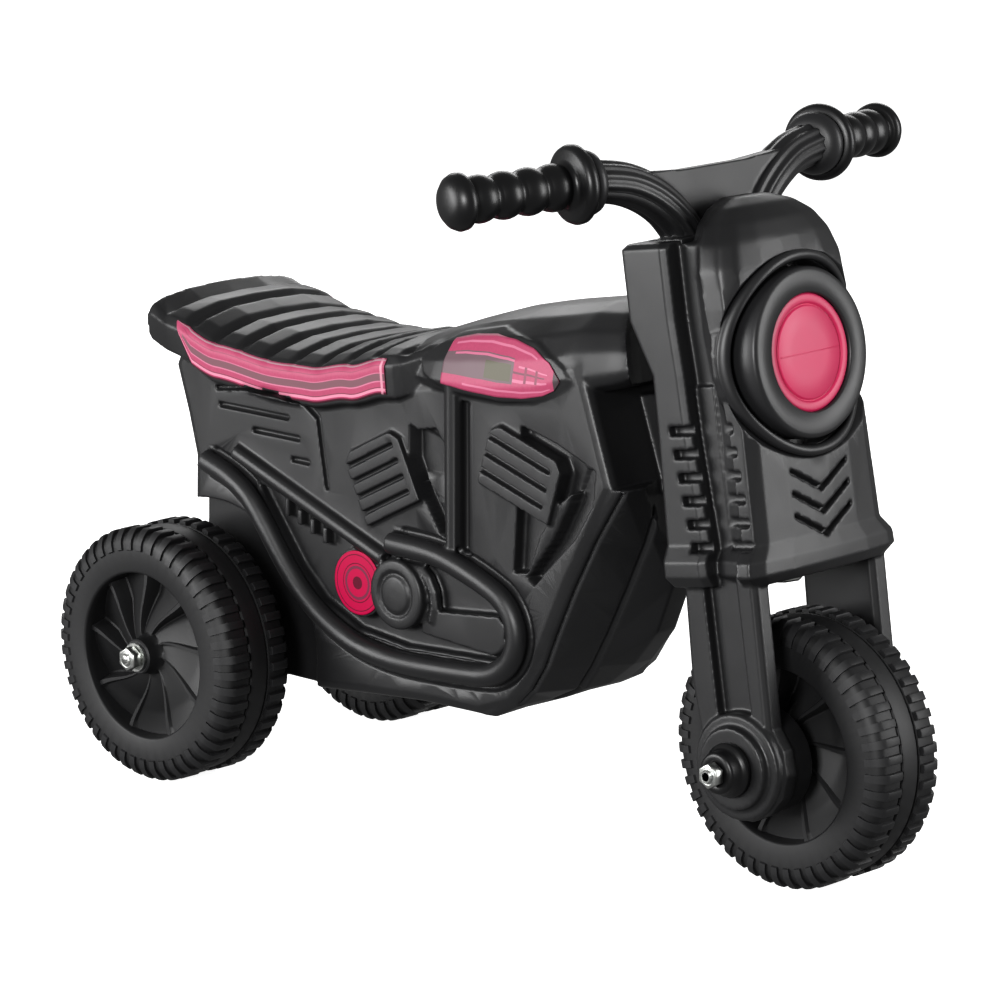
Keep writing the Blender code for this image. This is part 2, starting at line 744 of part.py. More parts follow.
def add_body():
    body = add_object("body_shell", to_mesh("body_shell", side_prism(
        slab_outline(), -BODY_HALF_WIDTH, BODY_HALF_WIDTH, rounding=0.006)), None, BLACK_BODY)
    join(body, tool("prow", loft(prow_rings())), tool("tank", loft(tank_rings(), True)),
         tool("seat", loft(seat_rings())))
    join(body, outer_shell("leaf_pad", tank_rings(PAD_PROUD), leaf_outline()))
    swing = disc(SWING_RADIUS, 0.085, 0.36, axis="Z", sides=40)
    cut(body, tool("steering_sweep", swing, STEER))
    arch = disc(WHEEL_RADIUS + ARCH_GAP, -0.2, -ARCH_HALF_WIDTH,
                centre=(REAR_X, 0, AXLE_HEIGHT), sides=40)
    cut(body, tool("wheel_arch", arch), *body_recesses())
    join(body, axle_bosses(), *body_reliefs())
    neck = box((steer_x(AXLE_HEIGHT, -SWING_RADIUS - 0.02) - FRONT_X, -NECK_HALF_WIDTH,
                LUG_LOW + 0.0015),
               (0, NECK_HALF_WIDTH, LUG_HIGH - 0.0015))
    join(body, tool("neck", neck, STEER),
         tool("head_lug", disc(LUG_RADIUS, LUG_LOW, LUG_HIGH, axis="Z"), STEER))
    cut(body, tool("head_bore", disc(BUSH_RADIUS + SEAT_GAP, LUG_LOW - 0.01, LUG_HIGH + 0.01,
                                     axis="Z"), STEER))
    cut(body, tool("axle_bore", disc(AXLE_RADIUS + SEAT_GAP, -0.2, 0.2,
                                     centre=(REAR_X, 0, AXLE_HEIGHT), sides=20)))
    combine(body, tool("right_half", box((-0.5, -0.2, 0), (0.5, 0, 0.6))), "INTERSECT")
    settle(body)
    other = body.data.copy()
    other.transform(Matrix.Scale(-1, 4, (0, 1, 0)))
    other.flip_normals()
    join(body, add_object("left_half", other))
    settle(body)
    body.data.materials.clear()
    body.data.materials.append(BLACK_BODY)
    shade(body)


def add_mirrored(name, item, finish):
    """A decal for the right side from a tool, and its mirror image for the left."""
    mesh = evaluated_mesh(item)
    right = add_object(name + "_right", mesh, None, finish)
    other = mesh.copy()
    other.transform(Matrix.Scale(-1, 4, (0, 1, 0)))
    other.flip_normals()
    add_object(name + "_left", other, None, finish)
    return right


def stripe_outline():
    stations = [-0.027 + 0.0184 * i for i in range(11)]
    top = [(rear(x), seat_edge(x) - 0.0065) for x in stations]
    low = [(rear(x), seat_edge(x) - SEAT_BAND + 0.005) for x in stations]
    return top + low[::-1]


def add_decals():
    start = SEAT_HALF_WIDTH + SEAT_GAP
    stripe = side_prism(stripe_outline(), -start - DECAL_THICKNESS, -start)
    add_mirrored("seat_stripe", tool("stripe", stripe), PINK_VINYL)
    outer = outer_shell("leaf", tank_rings(PAD_PROUD + SEAT_GAP + DECAL_THICKNESS),
                        leaf_outline(0.006))
    inside = loft(tank_rings(PAD_PROUD + SEAT_GAP), same_split=True)
    cut(outer, tool("leaf_inside", inside))
    add_mirrored("tank_decal", outer, PINK_VINYL)
    start = BODY_HALF_WIDTH + BADGE_PROUD + SEAT_GAP
    badge = disc(badge_radius(), -start - DECAL_THICKNESS, -start,
                 centre=(rear(BADGE_CENTRE[0]), 0, level(BADGE_CENTRE[1])))
    add_mirrored("engine_badge", tool("badge", badge), MAGENTA_VINYL)


# Fork cowl and its fittings

def plan_ring(u, half):
    """A closed plan section at height u from its half outline of (forward, y) points."""
    return [(f, -y, u) for f, y in half] + [(f, y, u) for f, y in half[::-1]]


def rib_rings():
    """The rear of the cowl: two flat flanks joined across the back."""
    rows = [(COWL_BOTTOM, COWL_REAR - 0.003, -0.005, 0.001), (0.110, COWL_REAR, -0.005, 0.005),
            (0.119, COWL_REAR, -0.005, 0.005), (0.128, COWL_REAR, -0.005, 0.0),
            (0.190, COWL_REAR - 0.003, -0.009, 0.0), (0.226, COWL_REAR - 0.004, -0.010, 0.0),
            (0.258, COWL_REAR_TOP, -0.012, 0.0), (COWL_TOP - 0.003, COWL_REAR_TOP, -0.012, 0.0),
            (COWL_TOP, COWL_REAR_TOP - 0.003, -0.013, -0.003)]
    rings = []
    for u, back, edge, flare in rows:
        wide = COWL_HALF_WIDTH + flare
        rings.append(plan_ring(u, [(-back, wide - COWL_CORNER), (COWL_CORNER - back, wide),
                                   (edge - 0.004, wide), (edge, wide - 0.003), (edge, 0.040)]))
    return rings


def nacelle_rings():
    """The rounded front of the cowl, domed at the top and flared at the bottom."""
    rows = [(COWL_BOTTOM, 0.058, 0.019, 0.032), (0.110, 0.066, 0.020, 0.036),
            (0.118, 0.065, 0.020, 0.036), (0.127, 0.057, 0.019, 0.034),
            (0.190, 0.055, 0.017, 0.034), (0.226, 0.055, 0.013, 0.034),
            (0.262, 0.055, 0.009, 0.034), (0.284, 0.054, 0.006, 0.033),
            (0.298, 0.049, 0.004, 0.030), (0.309, 0.041, 0.002, 0.025),
            (0.317, 0.029, 0.001, 0.018), (DOME_TOP, 0.013, 0.0, 0.009)]
    rings = []
    for u, wide, edge, front in rows:
        deep = front - edge
        rings.append(plan_ring(u, [(-0.009, wide * 0.8), (edge - 0.003, wide * 0.90),
                                   (edge, wide), (edge + deep * 0.55, wide * 0.98),
                                   (edge + deep * 0.82, wide * 0.83),
                                   (edge + deep * 0.96, wide * 0.50), (front, wide * 0.15)]))
    return rings


def leg_outline():
    """Side view of a fork leg: a straight strut with a round end about the front axle."""
    turns = [math.radians(a) for a in range(150, 401, 25)]
    end = [(LEG_BOSS_RADIUS * math.cos(a), LEG_BOSS_RADIUS * math.sin(a)) for a in turns]
    return [(0.027, 0.112), (-0.028, 0.112), (-0.031, 0.050)] + end


def vent_slots():
    """Rows of notches in the edges on both sides of the flank groove."""
    shapes = []
    for side in (-1, 1):
        for i in range(VENT_COUNT):
            u = 0.124 + VENT_PITCH * i
            tilt = 0.0014 * i
            for f0, f1, depth in ((-0.017 - tilt, 0.0, 0.006), (0.005, 0.0265 - tilt, 0.007)):
                edge = COWL_HALF_WIDTH if f0 < 0 else 0.055
                y0, y1 = sorted((side * (edge - depth), side * 0.09))
                shapes.append(box((f0, y0, u), (f1, y1, u + VENT_HEIGHT)))
    return merged(shapes)


def chevrons():
    shapes = []
    for i in range(3):
        u = 0.150 - 0.013 * i
        outline = [(0.0, u), (0.025, u + 0.014), (0.025, u + 0.017), (0.0, u + 0.0035),
                   (-0.025, u + 0.017), (-0.025, u + 0.014)]
        shape = bmesh.new()
        face = shape.faces.new([shape.verts.new((0.0295, y, z)) for y, z in outline])
        made = bmesh.ops.extrude_face_region(shape, geom=[face])
        moved = [item for item in made["geom"] if isinstance(item, bmesh.types.BMVert)]
        bmesh.ops.translate(shape, verts=moved, vec=(0.02, 0, 0))
        shapes.append(shape)
    return merged(shapes)


def lamp_profile():
    """Section of the lamp's rings: lens seat, bezel, groove and outer ring."""
    seat = LAMP_RADIUS + SEAT_GAP
    return [(seat, LENS_BACK + 0.0045), (LAMP_RADIUS + 0.009, LENS_BACK + 0.0045),
            (LAMP_RADIUS + 0.0105, LENS_BACK + 0.002), (LAMP_RADIUS + 0.0105, 0.024),
            (LAMP_RADIUS + 0.015, 0.024), (LAMP_RADIUS + 0.0157, 0.028),
            (LAMP_RADIUS + 0.019, 0.028), (LAMP_RADIUS + 0.0205, 0.025),
            (LAMP_RADIUS + 0.0205, 0.012), (0, 0.012), (0, LENS_BACK), (seat, LENS_BACK)]


def add_cowl():
    cowl = add_object("fork_cowl", to_mesh("fork_cowl", loft(rib_rings())), STEER, BLACK_BODY)
    core = box((-0.030, -0.047, COWL_BOTTOM + 0.001), (0.012, 0.047, COWL_TOP - 0.002))
    join(cowl, tool("core", core, STEER), tool("nacelle", loft(nacelle_rings()), STEER))
    cut(cowl, tool("chevrons", chevrons(), STEER), tool("vents", vent_slots(), STEER))
    lamp = STEER @ Matrix.Translation((0, 0, LAMP_HEIGHT)) @ Matrix.Rotation(math.pi / 2, 4, "Y")
    cut(cowl, tool("lamp_room", disc(LAMP_RADIUS + 0.020, 0.020, 0.06, axis="Z", sides=30),
                   lamp))
    join(cowl, turned("lamp_rings", lamp_profile(), 30, lamp))
    for side in (-1, 1):
        near, far = sorted((side * (LEG_OUTER - LEG_THICKNESS), side * LEG_OUTER))
        leg = tool("leg", side_prism(leg_outline(), near, far, rounding=0.003, segments=1), STEER)
        y0, y1 = sorted((side * (COWL_HALF_WIDTH - 0.007), side * 0.09))
        cut(leg, tool("leg_groove", box((-0.012, y0, 0.030), (0.013, y1, 0.2)), STEER))
        join(leg, tool("leg_boss", disc(LEG_BOSS_RADIUS - 0.002, side * LEG_INNER,
                                        side * (COWL_HALF_WIDTH + 0.002)), STEER),
             tool("leg_boss_step", disc(0.024, side * 0.050, side * LEG_SEAT), STEER))
        join(cowl, leg)
    cut(cowl, tool("axle_hole", disc(AXLE_RADIUS + SEAT_GAP, -0.1, 0.1, sides=20), STEER))
    cut(cowl, tool("pin_hole", disc(PIN_RADIUS + SEAT_GAP, 0.09, NUT_FLOOR + 0.001, axis="Z",
                                    sides=20), STEER))
    fit = SEAT_GAP
    cut(cowl, tool("nut_room", box((BASE_BACK + 0.002, -0.011, NUT_FLOOR),
                                   (0.0105, 0.011, BASE_BOTTOM + 0.002)), STEER),
        tool("socket", box((BASE_BACK - fit, -BASE_HALF_WIDTH - fit, BASE_BOTTOM - fit),
                           (BASE_FRONT + fit, BASE_HALF_WIDTH + fit, 0.4)), STEER))
    low, high = LUG_LOW - BUSH_FLANGE - 2 * fit, LUG_HIGH + BUSH_FLANGE + 2 * fit
    cut(cowl, tool("cavity", box((-0.1, -CAVITY_HALF_WIDTH, low),
                                 (-0.001, CAVITY_HALF_WIDTH, high)), STEER),
        tool("cavity_nose", disc(LUG_RADIUS + TURNING_ROOM, low, high, axis="Z"), STEER))
    shade(cowl)


def add_lens():
    place = STEER @ Matrix.Translation((0, 0, LAMP_HEIGHT)) @ Matrix.Rotation(math.pi / 2, 4, "Y")
    back = LENS_BACK + SEAT_GAP
    ring = LAMP_RADIUS * 0.87
    profile = [(0, back + 0.0034), (ring - 0.002, back + 0.0028), (ring - 0.001, back + 0.0018),
               (ring + 0.001, back + 0.0018), (ring + 0.002, back + 0.0028),
               (LAMP_RADIUS - 0.001, back + 0.0026), (LAMP_RADIUS, back + 0.0016),
               (LAMP_RADIUS, back), (0, back)]
    add_ring("headlamp_lens", profile, place, PINK_LENS, sides=30)


def add_head_bearing():
    bore = PIN_RADIUS + SEAT_GAP
    flange = LUG_RADIUS - 0.003
    for name, face, way in (("steering_bush_lower", LUG_LOW, -1),
                            ("steering_bush_upper", LUG_HIGH, 1)):
        levels = [BUSH_FLANGE + SEAT_GAP, SEAT_GAP, -BUSH_DEPTH]
        profile = [(bore, levels[0]), (flange, levels[0]), (flange, levels[1]),
                   (BUSH_RADIUS, levels[1]), (BUSH_RADIUS, levels[2]), (bore, levels[2])]
        turn = Matrix() if way > 0 else Matrix.Rotation(math.pi, 4, "X")
        place = STEER @ Matrix.Translation((0, 0, face)) @ turn
        add_ring(name, profile, place, GREY_BUSH)
    head = COWL_BOTTOM - SEAT_GAP
    low = head - PIN_HEAD_HEIGHT
    nut = NUT_FLOOR + WASHER_THICKNESS + 2 * SEAT_GAP
    end = nut + NUT_HEIGHT + AXLE_PROUD
    corner = PIN_FLATS / math.sqrt(3)
    hexagon = turned("pin_head", [(0, head), (corner, head), (corner, low + 0.001),
                                  (corner - 0.001, low), (0, low)], 6, STEER)
    pin = add_rod("steering_pin", low + 0.003, end, STEER, PIN_RADIUS)
    settle(pin)
    join(pin, hexagon)
    add_washer("steering_washer", 0.010, NUT_FLOOR + SEAT_GAP, STEER, PIN_RADIUS)
    add_nut("steering_nut", nut, STEER, PIN_RADIUS, PIN_FLATS)


def add_handlebar():
    foot = COWL_TOP - 0.008
    stretch = (BAR_HEIGHT - foot) / 0.048
    inner = [(-0.025, 0.022, 0.0), (-0.025, 0.031, 0.015), (-0.025, 0.042, 0.027),
             (-0.0255, 0.056, 0.037), (-0.027, 0.072, 0.044), (-0.0285, 0.090, 0.0475)]
    inner = [(f, y, foot + rise * stretch) for f, y, rise in inner]
    end = (-BAR_SETBACK, FLANGE_OFFSET - 0.002, BAR_HEIGHT)
    base = box((BASE_BACK, -BASE_HALF_WIDTH, BASE_BOTTOM),
               (BASE_FRONT, BASE_HALF_WIDTH, COWL_TOP + 0.001))
    bar = add_object("handlebar", to_mesh("handlebar", base), STEER, BLACK_BODY)
    web_outline = [(0.060, 0.0495), (0.044, 0.026), (0.026, 0.004), (-0.026, 0.004),
                   (-0.044, 0.026), (-0.060, 0.0495), (-0.025, 0.047), (0.025, 0.047)]
    web = bmesh.new()
    face = web.faces.new([web.verts.new((-0.031, y, foot + rise * stretch))
                          for y, rise in web_outline])
    made = bmesh.ops.extrude_face_region(web, geom=[face])
    moved = [item for item in made["geom"] if isinstance(item, bmesh.types.BMVert)]
    bmesh.ops.translate(web, verts=moved, vec=(0.012, 0, 0))
    join(bar, tool("web", web, STEER))
    for side, turn in ((-1, TO_RIGHT), (1, TO_LEFT)):
        path = smooth_path([(f, side * y, u) for f, y, u in inner + [end]], 2)
        join(bar, tube("bar", path, BAR_RADIUS, sides=10, place=STEER))
        place = grip_place(side)
        collar = [(0, 0.0), (FLANGE_RADIUS - 0.009, 0.0), (FLANGE_RADIUS - 0.008, -0.002),
                  (FLANGE_RADIUS - 0.009, -0.006), (0, -0.006)]
        join(bar, turned("collar", collar, 20, place),
             tool("core", disc(CORE_RADIUS, -0.004, GRIP_LENGTH - 0.010, axis="Z", sides=16),
                  place))
    shade(bar)


def grip_place(side):
    """Place of a grip: its Z axis runs out along the swept-back bar end."""
    turn = TO_LEFT if side > 0 else TO_RIGHT
    return STEER @ Matrix.Translation((-BAR_SETBACK, side * FLANGE_OFFSET, BAR_HEIGHT)) \
        @ Matrix.Rotation(side * GRIP_SWEEP, 4, "Z") @ turn


def add_grips():
    start = SEAT_GAP
    bore = CORE_RADIUS + SEAT_GAP
    last = GRIP_LENGTH - 0.012
    profile = [(0, GRIP_LENGTH), (GRIP_END_RADIUS - 0.007, GRIP_LENGTH - 0.001),
               (GRIP_END_RADIUS - 0.001, GRIP_LENGTH - 0.005), (GRIP_END_RADIUS, last + 0.003),
               (GRIP_END_RADIUS - 0.003, last - 0.001)]
    beads = 4
    first = 0.011
    pitch = (last - 0.002 - first) / beads
    for bead in range(beads):
        top = last - 0.002 - pitch * bead
        profile += [(GRIP_RADIUS - 0.0018, top), (GRIP_RADIUS, top - pitch * 0.3),
                    (GRIP_RADIUS, top - pitch * 0.7)]
    profile += [(GRIP_RADIUS - 0.0018, first), (FLANGE_RADIUS - 0.003, 0.0085),
                (FLANGE_RADIUS, 0.006), (FLANGE_RADIUS, 0.003), (FLANGE_RADIUS - 0.002, start),
                (bore, start), (bore, GRIP_LENGTH - 0.010 + SEAT_GAP), (0, GRIP_LENGTH - 0.010
                                                                        + SEAT_GAP)]
    for name, side in (("grip_left", 1), ("grip_right", -1)):
        add_ring(name, profile, grip_place(side), DARK_GRIP)


def add_front_axle():
    centre = STEER.translation
    add_axle("front", centre, LEG_SEAT + SEAT_GAP + CUP_HEIGHT, washer=False)
    bore = AXLE_RADIUS + SEAT_GAP
    low = LEG_SEAT + SEAT_GAP
    top = low + CUP_HEIGHT
    profile = [(bore, top), (0.0115, top), (0.0125, top - 0.0015), (0.0125, low + 0.005),
               (0.016, low + 0.0035), (0.016, low), (bore, low)]
    for name, turn in (("front_cup_left", TO_LEFT), ("front_cup_right", TO_RIGHT)):
        add_ring(name, profile, Matrix.Translation(centre) @ turn, DARK_GRIP)


def main():
    add_body()
    add_decals()
    add_cowl()
    add_lens()
    add_head_bearing()
    add_handlebar()
    add_grips()
    add_wheels()
    add_axle("rear", (REAR_X, 0, AXLE_HEIGHT), REAR_TRACK / 2 + HUB_LENGTH / 2, washer=True)
    add_front_axle()


clear_scene()
BIKE = collection("mini_bike")
CUTTERS = collection("cutters")
BLACK_BODY = material("black_polyethylene", (0.018, 0.018, 0.020), 0.38)
BLACK_WHEEL = material("black_wheel_plastic", (0.022, 0.022, 0.024), 0.5)
DARK_GRIP = material("dark_grip_plastic", (0.012, 0.012, 0.013), 0.45)
GREY_BUSH = material("grey_nylon", (0.35, 0.35, 0.36), 0.5)
ZINC = material("zinc_plated_steel", (0.62, 0.63, 0.64), 0.3, 1.0)
PINK_LENS = material("pink_lens", (0.75, 0.10, 0.22), 0.3)
PINK_VINYL = material("pink_vinyl", (0.60, 0.13, 0.23), 0.4)
MAGENTA_VINYL = material("magenta_vinyl", (0.80, 0.01, 0.14), 0.4)
main()
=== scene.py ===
"""Dresses a packed ride-on mini bike with its finished mouldings, decals and fasteners.

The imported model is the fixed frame. Every piece here is made in its place, in metres.
"""

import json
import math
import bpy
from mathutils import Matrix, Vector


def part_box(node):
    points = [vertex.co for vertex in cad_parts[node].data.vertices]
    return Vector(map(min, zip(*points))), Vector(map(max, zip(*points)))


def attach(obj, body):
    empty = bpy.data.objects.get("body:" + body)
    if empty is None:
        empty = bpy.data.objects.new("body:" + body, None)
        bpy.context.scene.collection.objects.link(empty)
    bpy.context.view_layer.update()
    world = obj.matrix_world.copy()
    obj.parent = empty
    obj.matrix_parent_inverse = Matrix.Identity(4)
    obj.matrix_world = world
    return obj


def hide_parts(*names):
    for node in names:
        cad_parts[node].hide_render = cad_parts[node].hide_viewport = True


bl_info = {
    "name": "Ride-on mini bike",
    "version": (1, 0, 0),
    "blender": (4, 5, 0),
    "location": "3D View > Sidebar > Mini bike",
    "description": "Builds the mouldings, wheels, decals and studio of a child's ride-on mini bike",
    "category": "Object",
}

import bmesh
import bpy
from mathutils import Matrix, Vector, kdtree

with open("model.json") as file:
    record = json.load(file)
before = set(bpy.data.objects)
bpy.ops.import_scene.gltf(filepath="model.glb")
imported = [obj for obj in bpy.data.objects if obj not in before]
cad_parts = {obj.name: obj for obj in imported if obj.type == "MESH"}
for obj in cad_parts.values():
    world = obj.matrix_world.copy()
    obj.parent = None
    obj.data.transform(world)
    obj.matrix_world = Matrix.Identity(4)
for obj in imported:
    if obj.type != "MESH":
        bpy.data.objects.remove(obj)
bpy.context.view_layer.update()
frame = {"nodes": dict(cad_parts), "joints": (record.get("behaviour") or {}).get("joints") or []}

JOINTS = {joint["name"]: joint for joint in frame["joints"]}
FRONT_AXLE = Vector(JOINTS["steering"]["pos_m"])
REAR_AXLE = Vector(JOINTS["rear_wheel_right_spin"]["pos_m"])
REAR_X = REAR_AXLE.x
AXLE_HEIGHT = REAR_AXLE.z
RAKE = math.asin(-JOINTS["steering"]["axis"][0])
STEER = Matrix.Translation(FRONT_AXLE) @ Matrix.Rotation(-RAKE, 4, "Y")
UNSTEER = STEER.inverted()
TO_LEFT = Matrix.Rotation(-math.pi / 2, 4, "X")
TO_RIGHT = Matrix.Rotation(math.pi / 2, 4, "X")
LAMP_HEIGHT = 0.230
LAMP = STEER @ Matrix.Translation((0, 0, LAMP_HEIGHT)) @ Matrix.Rotation(math.pi / 2, 4, "Y")

# How a piece is divided
MOST_TRIANGLES = 190000
ROUND_STEPS = 96
LAMP_STEPS = 160
BAR_GRAIN = 0.0010

# Side views, as distance ahead of the rear axle and height: the raised pad under the tank's
# film, the film itself, and the seat's edge as its rise above the seat's lowest point
LEAF_TOP = [(0.184, 0.2760), (0.190, 0.2850), (0.203, 0.2940), (0.218, 0.2990), (0.236, 0.3015),
            (0.254, 0.3010), (0.270, 0.2985), (0.285, 0.2930), (0.296, 0.2860), (0.300, 0.2825)]
LEAF_LOW = [(0.184, 0.2760), (0.192, 0.2738), (0.206, 0.2730), (0.225, 0.2725), (0.248, 0.2722),
            (0.266, 0.2732), (0.281, 0.2755), (0.292, 0.2785), (0.298, 0.2808), (0.300, 0.2825)]
FILM_TOP = [(0.2015, 0.2975), (0.218, 0.3020), (0.236, 0.3045), (0.254, 0.3040), (0.270, 0.3010),
            (0.285, 0.2950), (0.2945, 0.2860)]
FILM_LOW = [(0.2015, 0.2715), (0.225, 0.2700), (0.248, 0.2697), (0.266, 0.2710), (0.281, 0.2745),
            (0.290, 0.2790), (0.2945, 0.2845)]
SEAT_HEIGHT = 0.267
SEAT_RISE = [(-0.056, 0.020), (-0.034, 0.015), (0.010, 0.004), (0.060, 0.0), (0.092, 0.001),
             (0.125, 0.007), (0.155, 0.015), (0.195, 0.026)]
STRIPE_START, STRIPE_END = -0.0270, 0.1570
BADGE_CENTRE = (0.128, 0.137)


# Sizes and colours a user would change

def hex_colour(code):
    """A linear colour from an sRGB hex code."""
    channels = [int(code[i:i + 2], 16) / 255 for i in (0, 2, 4)]
    return [c / 12.92 if c <= 0.04045 else ((c + 0.055) / 1.055) ** 2.4 for c in channels]


def colour_property(name, description, code):
    """A colour that a user may change."""
    return bpy.props.FloatVectorProperty(name=name, description=description, subtype="COLOR",
                                         default=hex_colour(code), min=0.0, max=1.0)


def length_property(name, description, default, low, high):
    """A length that a user may change."""
    return bpy.props.FloatProperty(name=name, description=description, default=default,
                                   min=low, max=high, subtype="DISTANCE", unit="LENGTH")


class MouldingSettings(bpy.types.PropertyGroup):
    """Sizes of the body, cowl and handlebar mouldings."""
    body_grain: length_property("Body grain", "Spacing of the body's surface points",
                                0.00105, 0.0008, 0.004)
    cowl_grain: length_property("Cowl grain", "Spacing of the fork cowl's surface points",
                                0.0009, 0.0008, 0.004)
    flute_count: bpy.props.IntProperty(
        name="Bar flutes", description="Ridges around each handlebar tube",
        default=12, min=6, max=30)
    black: colour_property("Body black", "Black of the blow-moulded body", "1f1f20")


class WheelSettings(bpy.types.PropertyGroup):
    """Sizes of the moulded wheels."""
    lug_count: bpy.props.IntProperty(
        name="Tread lugs", description="Lugs around each shoulder of a wheel",
        default=48, min=24, max=72)
    blade_count: bpy.props.IntProperty(
        name="Blades", description="Swept blades on a wheel's face", default=9, min=5, max=15)
    lug_height: length_property("Lug height", "Height of a tread lug", 0.0026, 0.001, 0.005)
    black: colour_property("Wheel black", "Black of the wheels", "161617")


class TrimSettings(bpy.types.PropertyGroup):
    """Colours of the lamp, decals and grips."""
    lamp_pink: colour_property("Lamp pink", "Pink of the headlamp disc", "c02858")
    stripe_pink: colour_property("Stripe pink", "Pink of the seat and tank decals", "ab4566")
    badge_magenta: colour_property("Badge magenta", "Magenta of the engine badge", "a80541")
    grip_black: colour_property("Grip black", "Black of the grips", "101011")


class StageSettings(bpy.types.PropertyGroup):
    """Floor and light of the studio."""
    floor_white: colour_property("Floor", "Colour of the studio floor", "f4f4f3")
    key_watts: bpy.props.FloatProperty(
        name="Key light", description="Power of the large light beside the camera",
        default=60.0, min=0.0, unit="POWER")
    room_light: bpy.props.FloatProperty(
        name="Room light", description="Strength of the even light that fills the studio",
        default=0.22, min=0.0, max=2.0)
    floor_glow: bpy.props.FloatProperty(
        name="Floor glow", description="How far the floor is lifted to white behind the bike",
        default=0.75, min=0.0, max=2.0)
    lens: bpy.props.FloatProperty(
        name="Lens", description="Focal length of the camera in millimetres",
        default=184.8, min=50.0, max=400.0, unit="CAMERA")


# Shape helpers

def cad_copy(node):
    """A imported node's mesh with its loose triangles merged."""
    shape = bmesh.new()
    shape.from_mesh(frame["nodes"][node].data)
    bmesh.ops.remove_doubles(shape, verts=shape.verts, dist=0.00002)
    return shape


def as_mesh(name, shape):
    """A mesh from a shape, which is used up."""
    mesh = bpy.data.meshes.new(name)
    shape.to_mesh(mesh)
    shape.free()
    return mesh


def linked(name, data):
    """A new object in the scene."""
    made = bpy.data.objects.new(name, data)
    bpy.context.scene.collection.objects.link(made)
    return made


def joined(*shapes):
    """One shape from several."""
    whole = bmesh.new()
    for shape in shapes:
        part = as_mesh("part", shape)
        whole.from_mesh(part)
        bpy.data.meshes.remove(part)
    return whole


def spun(profile, steps, place=None):
    """Spin a profile of (radius, height) points about Z into a closed solid."""
    shape = bmesh.new()
    points = [shape.verts.new((radius, 0, height)) for radius, height in profile]
    edges = []
    for start, end in zip(points, points[1:] + points[:1]):
        if start.co.x or end.co.x:
            edges.append(shape.edges.new((start, end)))
    bmesh.ops.spin(shape, geom=points + edges, cent=(0, 0, 0), axis=(0, 0, 1),
                   angle=2 * math.pi, steps=steps, use_merge=True)
    bmesh.ops.remove_doubles(shape, verts=shape.verts, dist=0.000001)
    bmesh.ops.recalc_face_normals(shape, faces=shape.faces)
    if place is not None:
        shape.transform(place)
    return shape


def round_edges(shape, edges, offset, segments=2):
    """Round the chosen edges of a shape."""
    bmesh.ops.bevel(shape, geom=edges, offset=offset, offset_type="OFFSET", segments=segments,
                    profile=0.5, affect="EDGES", clamp_overlap=True, material=-1)


def outward(side):
    """The turn that points the height of a spun piece out to one side of the bike."""
    return TO_LEFT if side > 0 else TO_RIGHT


def smooth_path(points, steps):
    """Points along a Catmull-Rom curve through the given ones."""
    rows = [Vector(p) for p in points]
    rows = [2 * rows[0] - rows[1]] + rows + [2 * rows[-1] - rows[-2]]
    path = []
    for a, b, c, d in zip(rows, rows[1:], rows[2:], rows[3:]):
        for k in range(steps):
            t = k / steps
            path.append(0.5 * (2 * b + (c - a) * t + (2 * a - 5 * b + 4 * c - d) * t * t
                               + (3 * b - a - 3 * c + d) * t * t * t))
    path.append(rows[-2])
    return path


def read(table, x, eased=False):
    """Read a value between the (position, value) pairs of a table, in a straight line or eased."""
    for (x0, v0), (x1, v1) in zip(table, table[1:]):
        if x <= x1:
            t = max(0.0, min(1.0, (x - x0) / (x1 - x0)))
            return v0 + (v1 - v0) * (t * t * (3 - 2 * t) if eased else t)
    return table[-1][1]


def seat_edge(x):
    """Height of the seat's top edge at a distance ahead of the rear axle."""
    return SEAT_HEIGHT + read(SEAT_RISE, x, eased=True)


def evaluated(item):
    """The mesh that an object's modifiers or curve give."""
    graph = bpy.context.evaluated_depsgraph_get()
    return bpy.data.meshes.new_from_object(item.evaluated_get(graph), depsgraph=graph)


def apply(made, kind, **settings):
    """Change a piece's mesh for good with one modifier."""
    step = made.modifiers.new(kind, kind)
    for name, value in settings.items():
        setattr(step, name, value)
    mesh = evaluated(made)
    made.modifiers.clear()
    made.data = mesh


def tube(points, radius, flutes=0, flute_depth=0.0004, sides=24):
    """A tube along points, plain or with ridges along it."""
    line = bpy.data.curves.new("line", "CURVE")
    line.dimensions = "3D"
    spline = line.splines.new("POLY")
    spline.points.add(len(points) - 1)
    for slot, point in zip(spline.points, points):
        slot.co = (*point, 1)
    section = bpy.data.curves.new("section", "CURVE")
    around = section.splines.new("POLY")
    count = 6 * flutes if flutes else sides
    around.points.add(count - 1)
    around.use_cyclic_u = True
    for i, slot in enumerate(around.points):
        turn = 2 * math.pi * i / count
        reach = radius + flute_depth * math.cos(flutes * turn) if flutes else radius
        slot.co = (reach * math.cos(turn), reach * math.sin(turn), 0, 1)
    profile = linked("section", section)
    line.bevel_mode = "OBJECT"
    line.bevel_object = profile
    line.use_fill_caps = True
    holder = linked("line", line)
    mesh = evaluated(holder)
    shape = bmesh.new()
    shape.from_mesh(mesh)
    bpy.data.meshes.remove(mesh)
    for item in (holder, profile):
        bpy.data.objects.remove(item)
    bmesh.ops.remove_doubles(shape, verts=shape.verts, dist=0.000005)
    bmesh.ops.recalc_face_normals(shape, faces=shape.faces)
    return shape


def piece(name, shape, finish, body, slot, *nodes):
    """Link a shape as a smooth-shaded piece that rides on a body and stands for CAD nodes."""
    made = linked(name, as_mesh(name, shape))
    set_finish(made, finish)
    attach(made, body)
    if nodes:
        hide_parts(*nodes)
    return made


def remesh(made, size):
    """Draw a piece's whole surface again with evenly spaced points."""
    apply(made, "REMESH", mode="VOXEL", voxel_size=size, use_smooth_shade=True)


